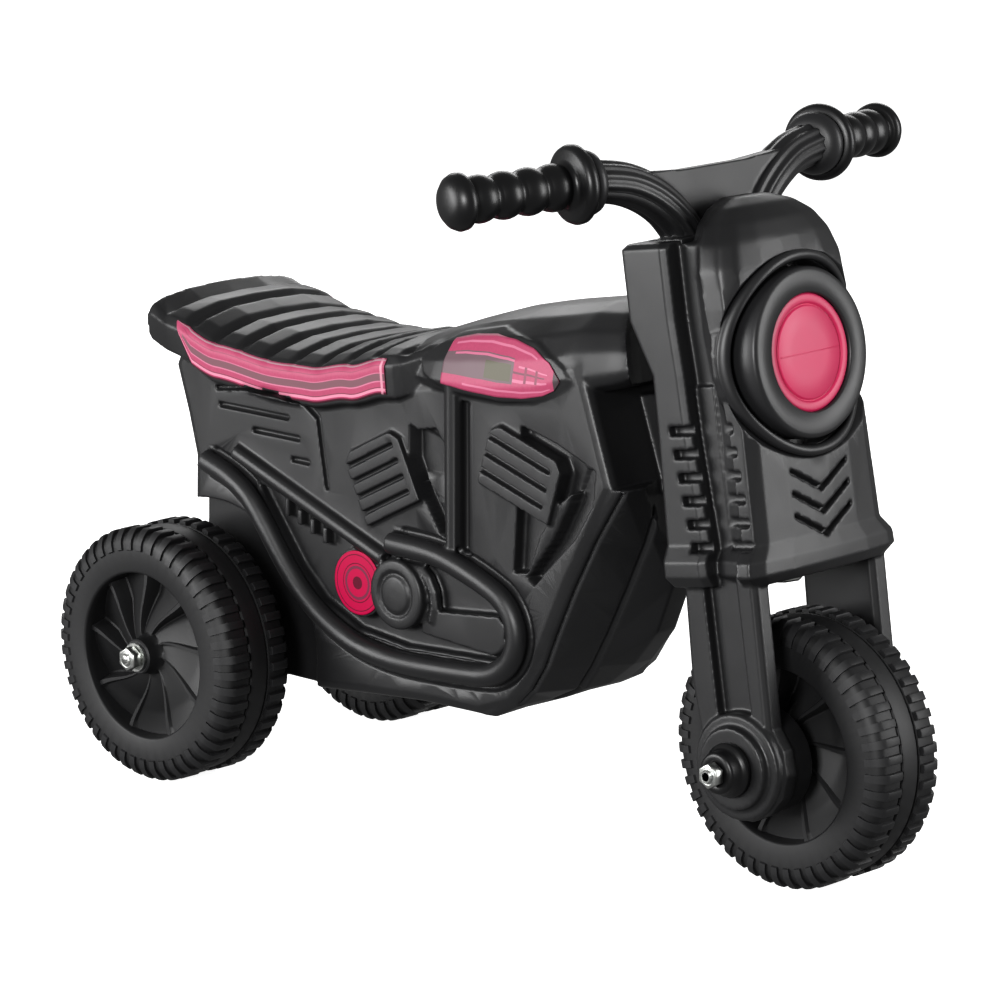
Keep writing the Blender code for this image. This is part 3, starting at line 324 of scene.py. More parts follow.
def relax(made, rounds, choose=None):
    """Smooth a piece where choose(point, normal) gives a weight above zero."""
    chosen = {}
    if choose:
        group = made.vertex_groups.new(name="relax")
        weights = {}
        for vert in made.data.vertices:
            weight = round(max(0.0, min(1.0, choose(vert.co, vert.normal))), 1)
            if weight:
                weights.setdefault(weight, []).append(vert.index)
        for weight, members in weights.items():
            group.add(members, weight, "REPLACE")
        chosen = {"vertex_group": group.name}
    apply(made, "SMOOTH", factor=0.5, iterations=rounds, **chosen)
    made.vertex_groups.clear()


def sink(made, paths, width, depth):
    """Press a groove of a width and depth into a piece along each path."""
    points = []
    for path in paths:
        for a, b in zip(path, path[1:]):
            count = max(2, int((b - a).length / 0.0008))
            points += [a.lerp(b, k / count) for k in range(count + 1)]
    tree = kdtree.KDTree(len(points))
    for index, point in enumerate(points):
        tree.insert(point, index)
    tree.balance()
    moves = []
    for vert in made.data.vertices:
        away = tree.find(vert.co)[2]
        if away < width:
            moves.append((vert, vert.normal * depth * (1 - (away / width) ** 2) ** 2))
    for vert, move in moves:
        vert.co -= move


def thin(made, triangles):
    """Drop points from flat places until a piece has about so many triangles."""
    made.data.calc_loop_triangles()
    have = len(made.data.loop_triangles)
    if have > triangles:
        apply(made, "DECIMATE", ratio=triangles / have)
    made.data.shade_smooth()


def set_finish(made, finish):
    """Give a piece its one material and smooth shading."""
    made.data.materials.clear()
    made.data.materials.append(finish)
    made.data.shade_smooth()


# Materials

def add(tree, kind, inputs=None, **settings):
    """Add a shader node with its settings, and set or link its inputs."""
    made = tree.nodes.new("ShaderNode" + kind)
    for name, value in settings.items():
        setattr(made, name, value)
    for name, value in (inputs or {}).items():
        if isinstance(value, bpy.types.NodeSocket):
            tree.links.new(value, made.inputs[name])
        else:
            made.inputs[name].default_value = value
    return made


def new_material(name):
    """An empty material and its node tree."""
    made = bpy.data.materials.new(name)
    made.use_nodes = True
    made.node_tree.nodes.clear()
    return made, made.node_tree


def finished(made, inputs):
    """Close a material with its surface shader and give it back."""
    shader = add(made.node_tree, "BsdfPrincipled", inputs)
    add(made.node_tree, "OutputMaterial", {"Surface": shader.outputs["BSDF"]})
    return made


def rgba(colour, factor=1.0):
    """A colour made darker or paler, with its alpha."""
    return (*(min(1.0, c * factor) for c in colour), 1.0)


def clouded(tree, size_mm, detail, dark, pale, roughness=0.5):
    """Noise of a real size on the piece, and a colour that drifts between two tones with it."""
    place = add(tree, "TexCoord")
    cloud = add(tree, "TexNoise", {
        "Vector": place.outputs["Object"], "Scale": 1000 / size_mm, "Detail": detail,
        "Roughness": roughness}).outputs["Fac"]
    tone = add(tree, "Mix", {0: cloud, 6: dark, 7: pale}, data_type="RGBA")
    return cloud, tone.outputs[2]


def printed(tree, layer, ink, *limits):
    """A layer with ink over it where every value is between its low and high limits."""
    mask = 1.0
    for value, low, high in limits:
        for limit, test in ((low, "GREATER_THAN"), (high, "LESS_THAN")):
            part = add(tree, "Math", {0: value, 1: limit}, operation=test)
            mask = add(tree, "Math", {0: mask, 1: part.outputs[0]},
                       operation="MULTIPLY").outputs[0]
    over = add(tree, "Mix", {0: mask, 6: layer, 7: rgba(hex_colour(ink))}, data_type="RGBA")
    return over.outputs[2]


def moulded_plastic(name, colour, rough, grain_mm, grain_height, scuff):
    """Black moulded plastic.

    The eye sees a soft, slightly uneven gloss: the mould's fine grain breaks up the highlights,
    edges that rub are a touch paler, and the flat faces have a faint ripple of cooled plastic.
    A mould's grain is typically about 0.3 mm across, too fine to show, so it is drawn coarser.
    """
    made, tree = new_material(name)
    cloud, tone = clouded(tree, 70, 4.0, rgba(colour, 0.82), rgba(colour, 1.22), 0.55)
    place = add(tree, "TexCoord").outputs["Object"]
    grain = add(tree, "TexNoise", {"Vector": place, "Scale": 1000 / grain_mm, "Detail": 3.0,
                                   "Roughness": 0.6})
    ripple = add(tree, "TexNoise", {"Vector": place, "Scale": 1000 / 38, "Detail": 2.0,
                                    "Roughness": 0.45})
    scratch = add(tree, "TexNoise", {"Vector": place, "Scale": 1000 / 5, "Detail": 6.0,
                                     "Roughness": 0.7, "Distortion": 1.6})
    scrape = add(tree, "MapRange", {"Value": scratch.outputs["Fac"], "From Min": 0.60,
                                    "From Max": 0.74, "To Min": 0.0, "To Max": 1.0})
    edge = add(tree, "NewGeometry")
    worn = add(tree, "MapRange", {"Value": edge.outputs["Pointiness"], "From Min": 0.51,
                                  "From Max": 0.60, "To Min": 0.0, "To Max": scuff})
    rubbed = add(tree, "Mix", {0: worn.outputs[0], 6: tone, 7: rgba(colour, 3.4)},
                 data_type="RGBA")
    gloss = add(tree, "MapRange", {"Value": cloud, "From Min": 0.3, "From Max": 0.7,
                                   "To Min": rough - 0.05, "To Max": rough + 0.05})
    dull = add(tree, "Math", {0: scrape.outputs[0], 1: 0.08, 2: gloss.outputs[0]},
               operation="MULTIPLY_ADD")
    fine = add(tree, "Bump", {"Height": grain.outputs["Fac"], "Strength": 0.35,
                              "Distance": grain_height})
    broad = add(tree, "Bump", {"Height": ripple.outputs["Fac"], "Strength": 0.30,
                               "Distance": 0.0006, "Normal": fine.outputs["Normal"]})
    return finished(made, {"Base Color": rubbed.outputs[2], "Roughness": dull.outputs[0],
                           "IOR": 1.5, "Normal": broad.outputs["Normal"]})


def zinc_plate():
    """Zinc-plated turned steel: bright, faintly mottled, with turning lines.

    Turning lines are typically 0.2 mm apart; these are drawn 1.2 mm apart so that they show.
    """
    made, tree = new_material("zinc_plated_turned_steel")
    mottle, tone = clouded(tree, 3.0, 4.0, rgba(hex_colour("a9adae")),
                           rgba(hex_colour("dcdcd6")))
    place = add(tree, "TexCoord")
    lines = add(tree, "TexWave", {"Vector": place.outputs["Object"], "Scale": 1000 / 1.2,
                                  "Distortion": 1.5, "Detail": 2.0}, bands_direction="Y")
    gloss = add(tree, "MapRange", {"Value": mottle, "To Min": 0.22, "To Max": 0.42})
    bump = add(tree, "Bump", {"Height": lines.outputs["Fac"], "Strength": 0.25,
                              "Distance": 0.00005})
    return finished(made, {"Base Color": tone, "Metallic": 1.0, "Roughness": gloss.outputs[0],
                           "Normal": bump.outputs["Normal"]})


def nylon():
    """Natural grey nylon: matt and waxy, with a little light carried under its skin."""
    made, tree = new_material("injection_moulded_nylon")
    cloud, tone = clouded(tree, 6, 3.0, rgba(hex_colour("8f9092")), rgba(hex_colour("a9aaac")))
    gloss = add(tree, "MapRange", {"Value": cloud, "To Min": 0.42, "To Max": 0.58})
    return finished(made, {"Base Color": tone, "Roughness": gloss.outputs[0], "IOR": 1.53,
                           "Subsurface Weight": 0.1, "Subsurface Scale": 0.002})


def lamp_disc(colour):
    """Pink ABS disc: even, satin, with the faint flow clouding of a moulded sheet.

    Its grain, typically about 0.3 mm, is drawn at 0.9 mm so that it shows.
    """
    made, tree = new_material("injection_moulded_pink_abs")
    cloud, tone = clouded(tree, 25, 3.0, rgba(colour, 0.88), rgba(colour, 1.10))
    place = add(tree, "TexCoord")
    grain = add(tree, "TexNoise", {"Vector": place.outputs["Object"], "Scale": 1000 / 0.9,
                                   "Detail": 2.0})
    gloss = add(tree, "MapRange", {"Value": cloud, "To Min": 0.38, "To Max": 0.50})
    bump = add(tree, "Bump", {"Height": grain.outputs["Fac"], "Strength": 0.2,
                              "Distance": 0.00006})
    return finished(made, {"Base Color": tone, "Roughness": gloss.outputs[0], "IOR": 1.53,
                           "Normal": bump.outputs["Normal"]})


def printed_vinyl(name, colour, bands):
    """Printed vinyl film: bands of ink on a pink ground, under a thin satin laminate.

    bands are (low, high, ink, start, end): shares of the film's width, the ink's colour, and
    shares of its length, read from the film's own UV map.
    """
    made, tree = new_material(name)
    film = add(tree, "UVMap", uv_map="film")
    axes = add(tree, "SeparateXYZ", {0: film.outputs["UV"]})
    speck, layer = clouded(tree, 1.6, 4.0, rgba(colour, 0.80), rgba(colour, 1.08))
    for low, high, ink, start, end in bands:
        layer = printed(tree, layer, ink, (axes.outputs["Y"], low, high),
                        (axes.outputs["X"], start, end))
    bump = add(tree, "Bump", {"Height": speck, "Strength": 0.2, "Distance": 0.00008})
    return finished(made, {"Base Color": layer, "Roughness": 0.55, "IOR": 1.48,
                           "Coat Weight": 0.08, "Coat Roughness": 0.3,
                           "Normal": bump.outputs["Normal"]})


def badge_film(colour):
    """Magenta printed film: a saturated satin disc with darker printed rings."""
    made, tree = new_material("printed_magenta_vinyl")
    place = add(tree, "TexCoord")
    spot = add(tree, "Mapping", {"Vector": place.outputs["Object"],
                                 "Location": (-rear(BADGE_CENTRE[0]), 0.0, -BADGE_CENTRE[1])})
    axes = add(tree, "SeparateXYZ", {0: spot.outputs[0]})
    flat = add(tree, "CombineXYZ", {"X": axes.outputs["X"], "Y": axes.outputs["Z"]})
    reach = add(tree, "VectorMath", {0: flat.outputs[0]}, operation="LENGTH")
    layer = rgba(colour)
    for inner, outer, ink in ((0.0172, 0.0178, "5a0a26"), (0.0118, 0.0124, "5a0a26"),
                              (0.0088, 0.0106, "6d2c42"), (0.0, 0.0040, "5a0a26")):
        layer = printed(tree, layer, ink, (reach.outputs["Value"], inner, outer))
    return finished(made, {"Base Color": layer, "Roughness": 0.50, "IOR": 1.48,
                           "Specular IOR Level": 0.2})


def painted_floor(colour, glow):
    """White studio floor: matt paint with a barely visible roller stipple, lit from below.

    Like a light table it looks white itself, and it sends no light up under the bike.
    """
    made, tree = new_material("matt_white_floor_paint")
    tone = clouded(tree, 4, 2.0, rgba(colour, 0.99), rgba(colour, 1.01))[1]
    path = add(tree, "LightPath")
    lift = add(tree, "Math", {0: path.outputs["Is Camera Ray"], 1: glow}, operation="MULTIPLY")
    return finished(made, {"Base Color": tone, "Roughness": 0.9, "Emission Color": WHITE,
                           "Emission Strength": lift.outputs[0]})


WHITE = (1.0, 1.0, 1.0, 1.0)
STRIPE_PRINT = [(0.0, 0.05, "5c2c3a", 0.0, 1.0), (0.09, 0.17, "d0839a", 0.02, 1.0),
                (0.17, 0.20, "7a3a4c", 0.02, 1.0), (0.34, 0.38, "c0708a", 0.04, 1.0),
                (0.38, 0.58, "765059", 0.04, 1.0), (0.58, 0.61, "bd6c86", 0.06, 1.0),
                (0.80, 0.82, "8a3b54", 0.03, 1.0), (0.93, 0.97, "b08b94", 0.0, 1.0),
                (0.0, 1.0, "c88a9b", 0.980, 0.990)]
TANK_PRINT = [(0.26, 0.72, "6a565c", 0.0, 0.62), (0.30, 0.60, "5c594b", 0.38, 0.60),
              (0.66, 0.70, "bd6c86", 0.08, 0.62), (0.30, 0.36, "c0708a", 0.62, 0.90),
              (0.46, 0.50, "70404f", 0.62, 0.88), (0.58, 0.62, "c0708a", 0.66, 0.90),
              (0.30, 0.62, "7f4254", 0.71, 0.73), (0.30, 0.62, "7f4254", 0.80, 0.82),
              (0.10, 0.14, "c0708a", 0.20, 0.92), (0.86, 0.90, "c0708a", 0.05, 0.80),
              (0.0, 1.0, "45383c", 0.95, 1.0)]
FINISHES = {}


def material(name):
    """Make a named finish once and give the same one after that."""
    scene = bpy.context.scene
    moulding, wheel, trim = scene.bike_moulding, scene.bike_wheel, scene.bike_trim
    makers = {
        "body": lambda: moulded_plastic("blow_moulded_polyethylene", moulding.black, 0.42, 1.4,
                                        0.00008, 0.35),
        "wheel": lambda: moulded_plastic("injection_moulded_polypropylene", wheel.black, 0.54,
                                         0.8, 0.00006, 0.45),
        "grip": lambda: moulded_plastic("moulded_soft_pvc", trim.grip_black, 0.36, 0.9,
                                        0.00005, 0.15),
        "zinc": zinc_plate,
        "nylon": nylon,
        "lamp": lambda: lamp_disc(trim.lamp_pink),
        "stripe": lambda: printed_vinyl("printed_stripe_vinyl", trim.stripe_pink, STRIPE_PRINT),
        "leaf": lambda: printed_vinyl("printed_tank_vinyl", trim.stripe_pink, TANK_PRINT),
        "badge": lambda: badge_film(trim.badge_magenta),
        "floor": lambda: painted_floor(scene.bike_stage.floor_white,
                                       scene.bike_stage.floor_glow),
    }
    if name not in FINISHES:
        FINISHES[name] = makers[name]()
    return FINISHES[name]


# Body

def rear(x):
    """X of a point at a distance ahead of the rear axle."""
    return REAR_X + x


def in_leaf(x, z, margin):
    """Whether a side-view point is on the tank's decal pad, grown by a margin."""
    ahead = x - REAR_X
    if not LEAF_TOP[0][0] - 0.008 - margin < ahead < LEAF_TOP[-1][0] + 0.008 + margin:
        return False
    low = read(LEAF_LOW, ahead) - 0.007 - margin
    high = read(LEAF_TOP, ahead) + 0.007 + margin
    return low < z < high


# Where the seat ends and the tank starts, how low the tank's smoothed dome reaches, and how
# little the seat may be smoothed, so that its ribs stay
SEAT_END = 0.168
TANK_START = 0.192
DOME_LOW = 0.280
SEAT_SOFTNESS = 0.12


def body_softness(point, normal):
    """How freely the body's skin may be smoothed: the seat's crown and the tank's dome."""
    ahead = point.x - REAR_X
    if ahead < SEAT_END:
        above = point.z - seat_edge(ahead) + 0.004
        return SEAT_SOFTNESS * min(1.0, above / 0.006) if normal.z > 0.1 else 0.0
    if point.z < DOME_LOW:
        return 0.0
    if abs(point.y) > 0.030 and in_leaf(point.x, point.z, 0.004):
        return 0.0
    if ahead < TANK_START:
        return 0.5 if normal.z > 0.3 else 0.0
    if normal.x > 0.8:
        return 0.0
    return min(1.0, (point.z - DOME_LOW) / 0.008)


# The pockets beside the cylinders, in a side view, and how far out their floor is
POCKETS = [[(0.171, 0.2403), (0.191, 0.2346), (0.201, 0.2085), (0.203, 0.1755), (0.1955, 0.1779),
            (0.180, 0.2017), (0.171, 0.2200)],
           [(0.310, 0.2361), (0.320, 0.2347), (0.318, 0.2147), (0.304, 0.1924), (0.284, 0.1722),
            (0.272, 0.1598), (0.2676, 0.1630), (0.288, 0.1892), (0.300, 0.2112)]]
POCKET_FLOOR = 0.0495


def inside(outline, x, z):
    """Whether a point is inside a closed outline."""
    odd = False
    for (x0, z0), (x1, z1) in zip(outline, outline[1:] + outline[:1]):
        if (z0 > z) != (z1 > z) and x < x0 + (x1 - x0) * (z - z0) / (z1 - z0):
            odd = not odd
    return odd


def sink_pockets(made):
    """Press the deep pockets beside the two cylinders into both sides of the body."""
    for vert in made.data.vertices:
        ahead = vert.co.x - REAR_X
        if abs(vert.co.y) > POCKET_FLOOR and 0.16 < ahead < 0.33 and any(
                inside(outline, ahead, vert.co.z) for outline in POCKETS):
            vert.co.y = math.copysign(POCKET_FLOOR, vert.co.y)


def prow_lines():
    """The creases down each side of the prow, as (height, outer and inner ahead of the axis)."""
    rows = [(0.083, -0.1745, -0.1715), (0.092, -0.164, -0.152), (0.108, -0.151, -0.138),
            (0.130, -0.138, -0.122), (0.160, -0.119, -0.102), (0.190, -0.098, -0.083),
            (0.226, -0.069, -0.064)]
    lines = []
    for side in (-1, 1):
        for column, across in ((1, 0.0555), (2, 0.0275)):
            lines.append([Vector((FRONT_AXLE.x - math.tan(RAKE) * (row[0] - AXLE_HEIGHT)
                                  + row[column], side * across, row[0])) for row in rows])
    return lines


PIPE_OUT = 0.062
PIPE_RADIUS = 0.0071


def exhaust_points(side):
    """The middle of the exhaust loop on one side of the body."""
    points = [(-0.006, 0.194), (0.018, 0.186), (0.038, 0.173), (0.066, 0.139), (0.084, 0.121),
              (0.104, 0.108), (0.130, 0.098), (0.165, 0.094), (0.224, 0.097), (0.244, 0.101),
              (0.257, 0.111), (0.262, 0.126), (0.257, 0.141), (0.242, 0.152), (0.200, 0.165),
              (0.157, 0.167)]
    return smooth_path([(rear(x), side * PIPE_OUT, z) for x, z in points], 5)


def beside_exhaust():
    """Lines on the body's sides just above and below each exhaust pipe."""
    apart, sunk = 0.0084, 0.003
    lines = []
    for side in (-1, 1):
        path = exhaust_points(side)
        for way in (-1, 1):
            line = []
            for before, point, after in zip(path, path[1:], path[2:]):
                along = (after - before).normalized()
                line.append(point + Vector((-along.z, 0, along.x))
                            * way * apart - Vector((0, side * sunk, 0)))
            lines.append(line)
    return lines


class BIKE_OT_body(bpy.types.Operator):
    """Make the blow-moulded body with its seat, tank and engine relief"""
    bl_idname = "bike.body"
    bl_label = "Body moulding"

    def execute(self, context):
        settings = context.scene.bike_moulding
        shapes = [cad_copy("body_shell")]
        for side in (-1, 1):
            # The exhaust loop, the straight pipe above it and the round engine cap
            shapes.append(tube(exhaust_points(side), PIPE_RADIUS, sides=28))
            shapes.append(tube([(rear(0.020), side * 0.060, 0.2025),
                                (rear(0.150), side * 0.060, 0.1555)], 0.0050, sides=20))
            hub = Matrix.Translation((rear(0.163), side * 0.050, 0.136)) @ outward(side)
            shapes.append(spun([(0, 0), (0.0218, 0), (0.0218, 0.0136), (0.0206, 0.0150),
                                (0.0150, 0.0154), (0.0140, 0.0140), (0.0118, 0.0140),
                                (0.0108, 0.0156), (0.0040, 0.0160), (0, 0.0160)],
                               ROUND_STEPS, hub))
        made = piece("body_moulding", joined(*shapes), material("body"), "frame",
                     "black_polyethylene", "body_shell")
        remesh(made, settings.body_grain)
        sink_pockets(made)
        relax(made, 2)
        relax(made, 46, body_softness)
        sink(made, prow_lines() + beside_exhaust(), width=0.0030, depth=0.0030)
        thin(made, MOST_TRIANGLES)
        set_finish(made, material("body"))
        return {"FINISHED"}


# Fork cowl and lamp

# Distances out from the lamp's axis to the edges of its rings, and forward from the steering
# axis to the rings' front and the floor of the channel between them
BEZEL_EDGE = 0.0488
CHANNEL_EDGE = 0.0535
BEAD_EDGE = 0.0588
RING_FRONT = 0.0350
CHANNEL_FLOOR = 0.0160
BEAD_SEAT = 0.0030
NACELLE_DOME = 0.262
CARVED_FROM, CARVED_TO = 0.0384, 0.0640


def from_lamp(point):
    """A point seen along the steering axis, and its distance from the lamp's axis."""
    local = UNSTEER @ point
    return local, math.hypot(local.y, local.z - LAMP_HEIGHT)


def cowl_softness(point, normal):
    """How freely the cowl's skin may be smoothed: the dome over the lamp and its cheeks."""
    local, reach = from_lamp(point)
    if local.z < NACELLE_DOME or local.x < -0.006 or reach < 0.068:
        return 0.0
    return min(1.0, (local.z - NACELLE_DOME) / 0.016)


def ring_drape(y):
    """How far forward the outer lamp ring stands, as it wraps over the cowl's cheeks."""
    return RING_FRONT - 0.0160 * (abs(y) / BEAD_EDGE) ** 2.6


def lamp_bezel():
    """The broad flat bezel whose lip holds the lamp disc."""
    return spun([(0.0386, 0.0348), (0.0341, 0.0348), (0.0341, 0.0371), (0.0349, 0.0379),
                 (0.0462, 0.0379), (0.0482, 0.0373), (0.0493, 0.0356), (0.0496, 0.0140),
                 (0.0386, 0.0140)], LAMP_STEPS, LAMP)


def lamp_bead():
    """The round bead that wraps over the cowl around the lamp."""
    middle, height, radius = 0.0560, 0.0340, 0.0031
    section = [(middle + radius * math.cos(math.pi * k / 8),
                height + radius * math.sin(math.pi * k / 8)) for k in range(16)]
    bead = spun(section, LAMP_STEPS)
    for vert in bead.verts:
        vert.co.z += ring_drape(vert.co.y) - ring_drape(0)
    bead.transform(LAMP)
    return bead


def cowl_ceiling(local, reach):
    """How far forward the cowl's own skin may stand near the lamp."""
    if reach < BEZEL_EDGE:
        return RING_FRONT
    if reach < CHANNEL_EDGE:
        return CHANNEL_FLOOR
    if reach < BEAD_EDGE:
        return ring_drape(local.y) - BEAD_SEAT
    return ring_drape(local.y) - BEAD_SEAT + 1.2 * (reach - BEAD_EDGE)


def carve_cowl(made):
    """Press the channel about the bezel and the seat of the bead into the cowl's skin."""
    for vert in made.data.vertices:
        local, reach = from_lamp(vert.co)
        if CARVED_FROM < reach < CARVED_TO and local.x > 0.004:
            ceiling = cowl_ceiling(local, reach)
            if local.x > ceiling:
                local.x = ceiling
                vert.co = STEER @ local


def gap_floors():
    """The floors of the two long gaps between the cowl's flanks and its nacelle."""
    shapes = []
    for side in (-1, 1):
        floor = bmesh.new()
        bmesh.ops.create_cube(floor, size=1.0, matrix=STEER @ Matrix.Translation(
            (-0.0065, side * 0.0476, 0.162)) @ Matrix.Diagonal((0.0190, 0.0022, 0.112, 1)))
        shapes.append(floor)
    return shapes


def leg_bosses():
    """The round bosses at the feet of the fork legs, around the front axle."""
    profile = [(0.0047, 0.0309), (0.0310, 0.0309), (0.0314, 0.0600), (0.0296, 0.0622),
               (0.0246, 0.0624), (0.0242, 0.0650), (0.0226, 0.0669), (0.0150, 0.0670),
               (0.0047, 0.0670)]
    return [spun(profile, ROUND_STEPS, STEER @ turn) for turn in (TO_LEFT, TO_RIGHT)]


class BIKE_OT_cowl(bpy.types.Operator):
    """Make the fork cowl with its lamp rings and fork legs"""
    bl_idname = "bike.cowl"
    bl_label = "Fork cowl"

    def execute(self, context):
        settings = context.scene.bike_moulding
        shape = joined(cad_copy("fork_cowl"), *leg_bosses(), *gap_floors())
        made = piece("fork_cowl_moulding", shape, material("body"), "steering",
                     "black_polyethylene", "fork_cowl")
        remesh(made, settings.cowl_grain)
        relax(made, 2)
        relax(made, 60, cowl_softness)
        carve_cowl(made)
        thin(made, MOST_TRIANGLES)
        set_finish(made, material("body"))
        for name, ring in (("lamp_bezel", lamp_bezel()), ("lamp_bead", lamp_bead())):
            piece(name, ring, material("body"), "steering", "black_polyethylene")
        return {"FINISHED"}


class BIKE_OT_lamp(bpy.types.Operator):
    """Make the pink lamp disc with its ring groove and centre line"""
    bl_idname = "bike.lamp"
    bl_label = "Headlamp disc"

    def execute(self, context):
        back = 0.0328
        shape = spun([(0, back + 0.0034), (0.0150, back + 0.0033), (0.0262, back + 0.0030),
                      (0.0268, back + 0.0027), (0.0271, back + 0.0018), (0.0279, back + 0.0018),
                      (0.0283, back + 0.0028), (0.0290, back + 0.0032), (0.0325, back + 0.0032),
                      (0.0336, back + 0.0028), (0.0340, back + 0.0020), (0.0380, back + 0.0018),
                      (0.0380, back), (0, back)], LAMP_STEPS, LAMP)
        piece("lamp_disc", shape, material("lamp"), "steering", "pink_lens", "headlamp_lens")
        line = bmesh.new()
        bmesh.ops.create_cube(line, size=1.0, matrix=LAMP @ Matrix.Translation(
            (0, 0.0, back + 0.0031)) @ Matrix.Diagonal((0.0007, 0.0500, 0.0008, 1)))
        round_edges(line, line.edges[:], 0.0002)
        piece("lamp_centre_line", line, material("lamp"), "steering", "pink_lens")
        return {"FINISHED"}


# Handlebar and grips

def bar_path(side):
    """The middle of one fluted tube, from the web out to its collar."""
    inner = [(-0.025, 0.022, 0.294), (-0.025, 0.031, 0.309), (-0.025, 0.042, 0.321),
             (-0.0255, 0.056, 0.331), (-0.027, 0.072, 0.338), (-0.0285, 0.090, 0.3415),
             (-0.030, 0.1005, 0.342)]
    return [STEER @ Vector((f, side * y, u)) for f, y, u in smooth_path(inner, 8)]


def grip_place(side):
    """Where one grip starts, swept back from the bar's line."""
    sweep = Matrix.Rotation(side * math.radians(14), 4, "Z")
    return STEER @ Matrix.Translation((-0.030, side * 0.1025, 0.342)) @ sweep @ outward(side)


class BIKE_OT_handlebar(bpy.types.Operator):
    """Make the handlebar with its fluted tubes, web and collars"""
    bl_idname = "bike.handlebar"
    bl_label = "Handlebar"

    def execute(self, context):
        made = piece("handlebar_moulding", cad_copy("handlebar"), material("body"), "steering",
                     "black_polyethylene", "handlebar")
        remesh(made, BAR_GRAIN)
        relax(made, 6)
        set_finish(made, material("body"))
        flutes = context.scene.bike_moulding.flute_count
        for name, side in (("left", 1), ("right", -1)):
            bar = tube(bar_path(side), 0.0120, flutes=flutes, flute_depth=0.0006)
            collar = spun([(0, -0.0105), (0.0124, -0.0102), (0.0150, -0.0088), (0.0176, -0.0066),
                           (0.0186, -0.0042), (0.0184, -0.0016), (0.0170, -0.0002),
                           (0.0120, 0.0), (0, 0.0)], ROUND_STEPS, grip_place(side))
            piece("fluted_bar_" + name, joined(bar, collar), material("body"), "steering",
                  "black_polyethylene")
        return {"FINISHED"}


class BIKE_OT_grips(bpy.types.Operator):
    """Make the beaded grips with their hand guards and end knobs"""
    bl_idname = "bike.grips"
    bl_label = "Grips"

    def execute(self, context):
        length, valley = 0.0905, 0.0137 - 0.0026
        last, first, beads = length - 0.0140, 0.0115, 4
        pitch = (last - first) / beads
        profile = [(0, length), (0.0070, length - 0.0003), (0.0118, length - 0.0018),
                   (0.0150, length - 0.0048), (0.0166, length - 0.0084),
                   (0.0162, length - 0.0116), (0.0142, length - 0.0134)]
        for i in range(beads):
            top = last - pitch * i
            for share, swell in ((0.0, 0.0), (0.12, 0.42), (0.26, 0.76), (0.42, 0.97),
                                 (0.58, 0.97), (0.74, 0.76), (0.88, 0.42)):
                profile.append((valley + 0.0027 * swell, top - pitch * share))
        profile += [(valley, first), (0.0150, 0.0096), (0.0196, 0.0090),
                    (0.0219, 0.0076), (0.0229, 0.0052), (0.0226, 0.0026), (0.0208, 0.0008),
                    (0.0180, 0.0004), (0.0083, 0.0004), (0.0083, 0.0780), (0, 0.0780)]
        for name, side in (("grip_left", 1), ("grip_right", -1)):
            piece(name + "_moulding", spun(profile, ROUND_STEPS, grip_place(side)),
                  material("grip"), "steering", "dark_grip_plastic", name)
        return {"FINISHED"}


# Wheels

def tread_ring(lugs, height):
    """The ring of a wheel, with square lugs wrapped over both of its shoulders."""
    base = AXLE_HEIGHT - height
    half = 0.027
    wall_edge, lug_start, shoulder = 0.0664, 0.0722, half - 0.0176
    front = [(0.0520, half - 0.0060), (0.0520, half - 0.0014), (0.0526, half - 0.0004),
             (0.0536, half), (0.0662, half), (0.0700, half - 0.0003),
             (0.0720, half - 0.0008), (0.0742, half - 0.0020), (0.0762, half - 0.0038),
             (base, half - 0.0060), (base, half - 0.0175), (base, half - 0.0182),
             (base - 0.0013, half - 0.0186), (base - 0.0013, half - 0.0202),
             (base + 0.0002, half - 0.0208), (base + 0.0005, half - 0.0224),
             (base + 0.0005, 0.0)]
    profile = front + [(r, -z) for r, z in front[-2::-1]]
    shape = spun(profile, lugs * 4)
    pitch = 2 * math.pi / lugs
    chosen = []
    for face in shape.faces:
        middle = face.calc_center_median()
        if math.hypot(middle.x, middle.y) < wall_edge or abs(middle.z) < shoulder:
            continue
        if math.atan2(middle.y, middle.x) % pitch < pitch / 2:
            chosen.append(face)
    made = bmesh.ops.extrude_face_region(shape, geom=chosen)
    for item in made["geom"]:
        if isinstance(item, bmesh.types.BMVert):
            reach = math.hypot(item.co.x, item.co.y)
            share = max(0.0, min(1.0, (reach - lug_start) / (base - lug_start)))
            grow = (reach + height * (0.25 + 0.75 * share)) / reach
            item.co.x *= grow
            item.co.y *= grow
            item.co.z += math.copysign(0.0012, item.co.z) * (1 - share)
    crest = [edge for edge in shape.edges if len(edge.link_faces) == 2
             and min(math.hypot(v.co.x, v.co.y) for v in edge.verts) > base + 0.6 * height
             and edge.calc_face_angle(0) > 0.5]
    round_edges(shape, crest, 0.0006)
    shape.transform(Matrix.Rotation(-pitch / 4, 4, "Z"))
    return shape


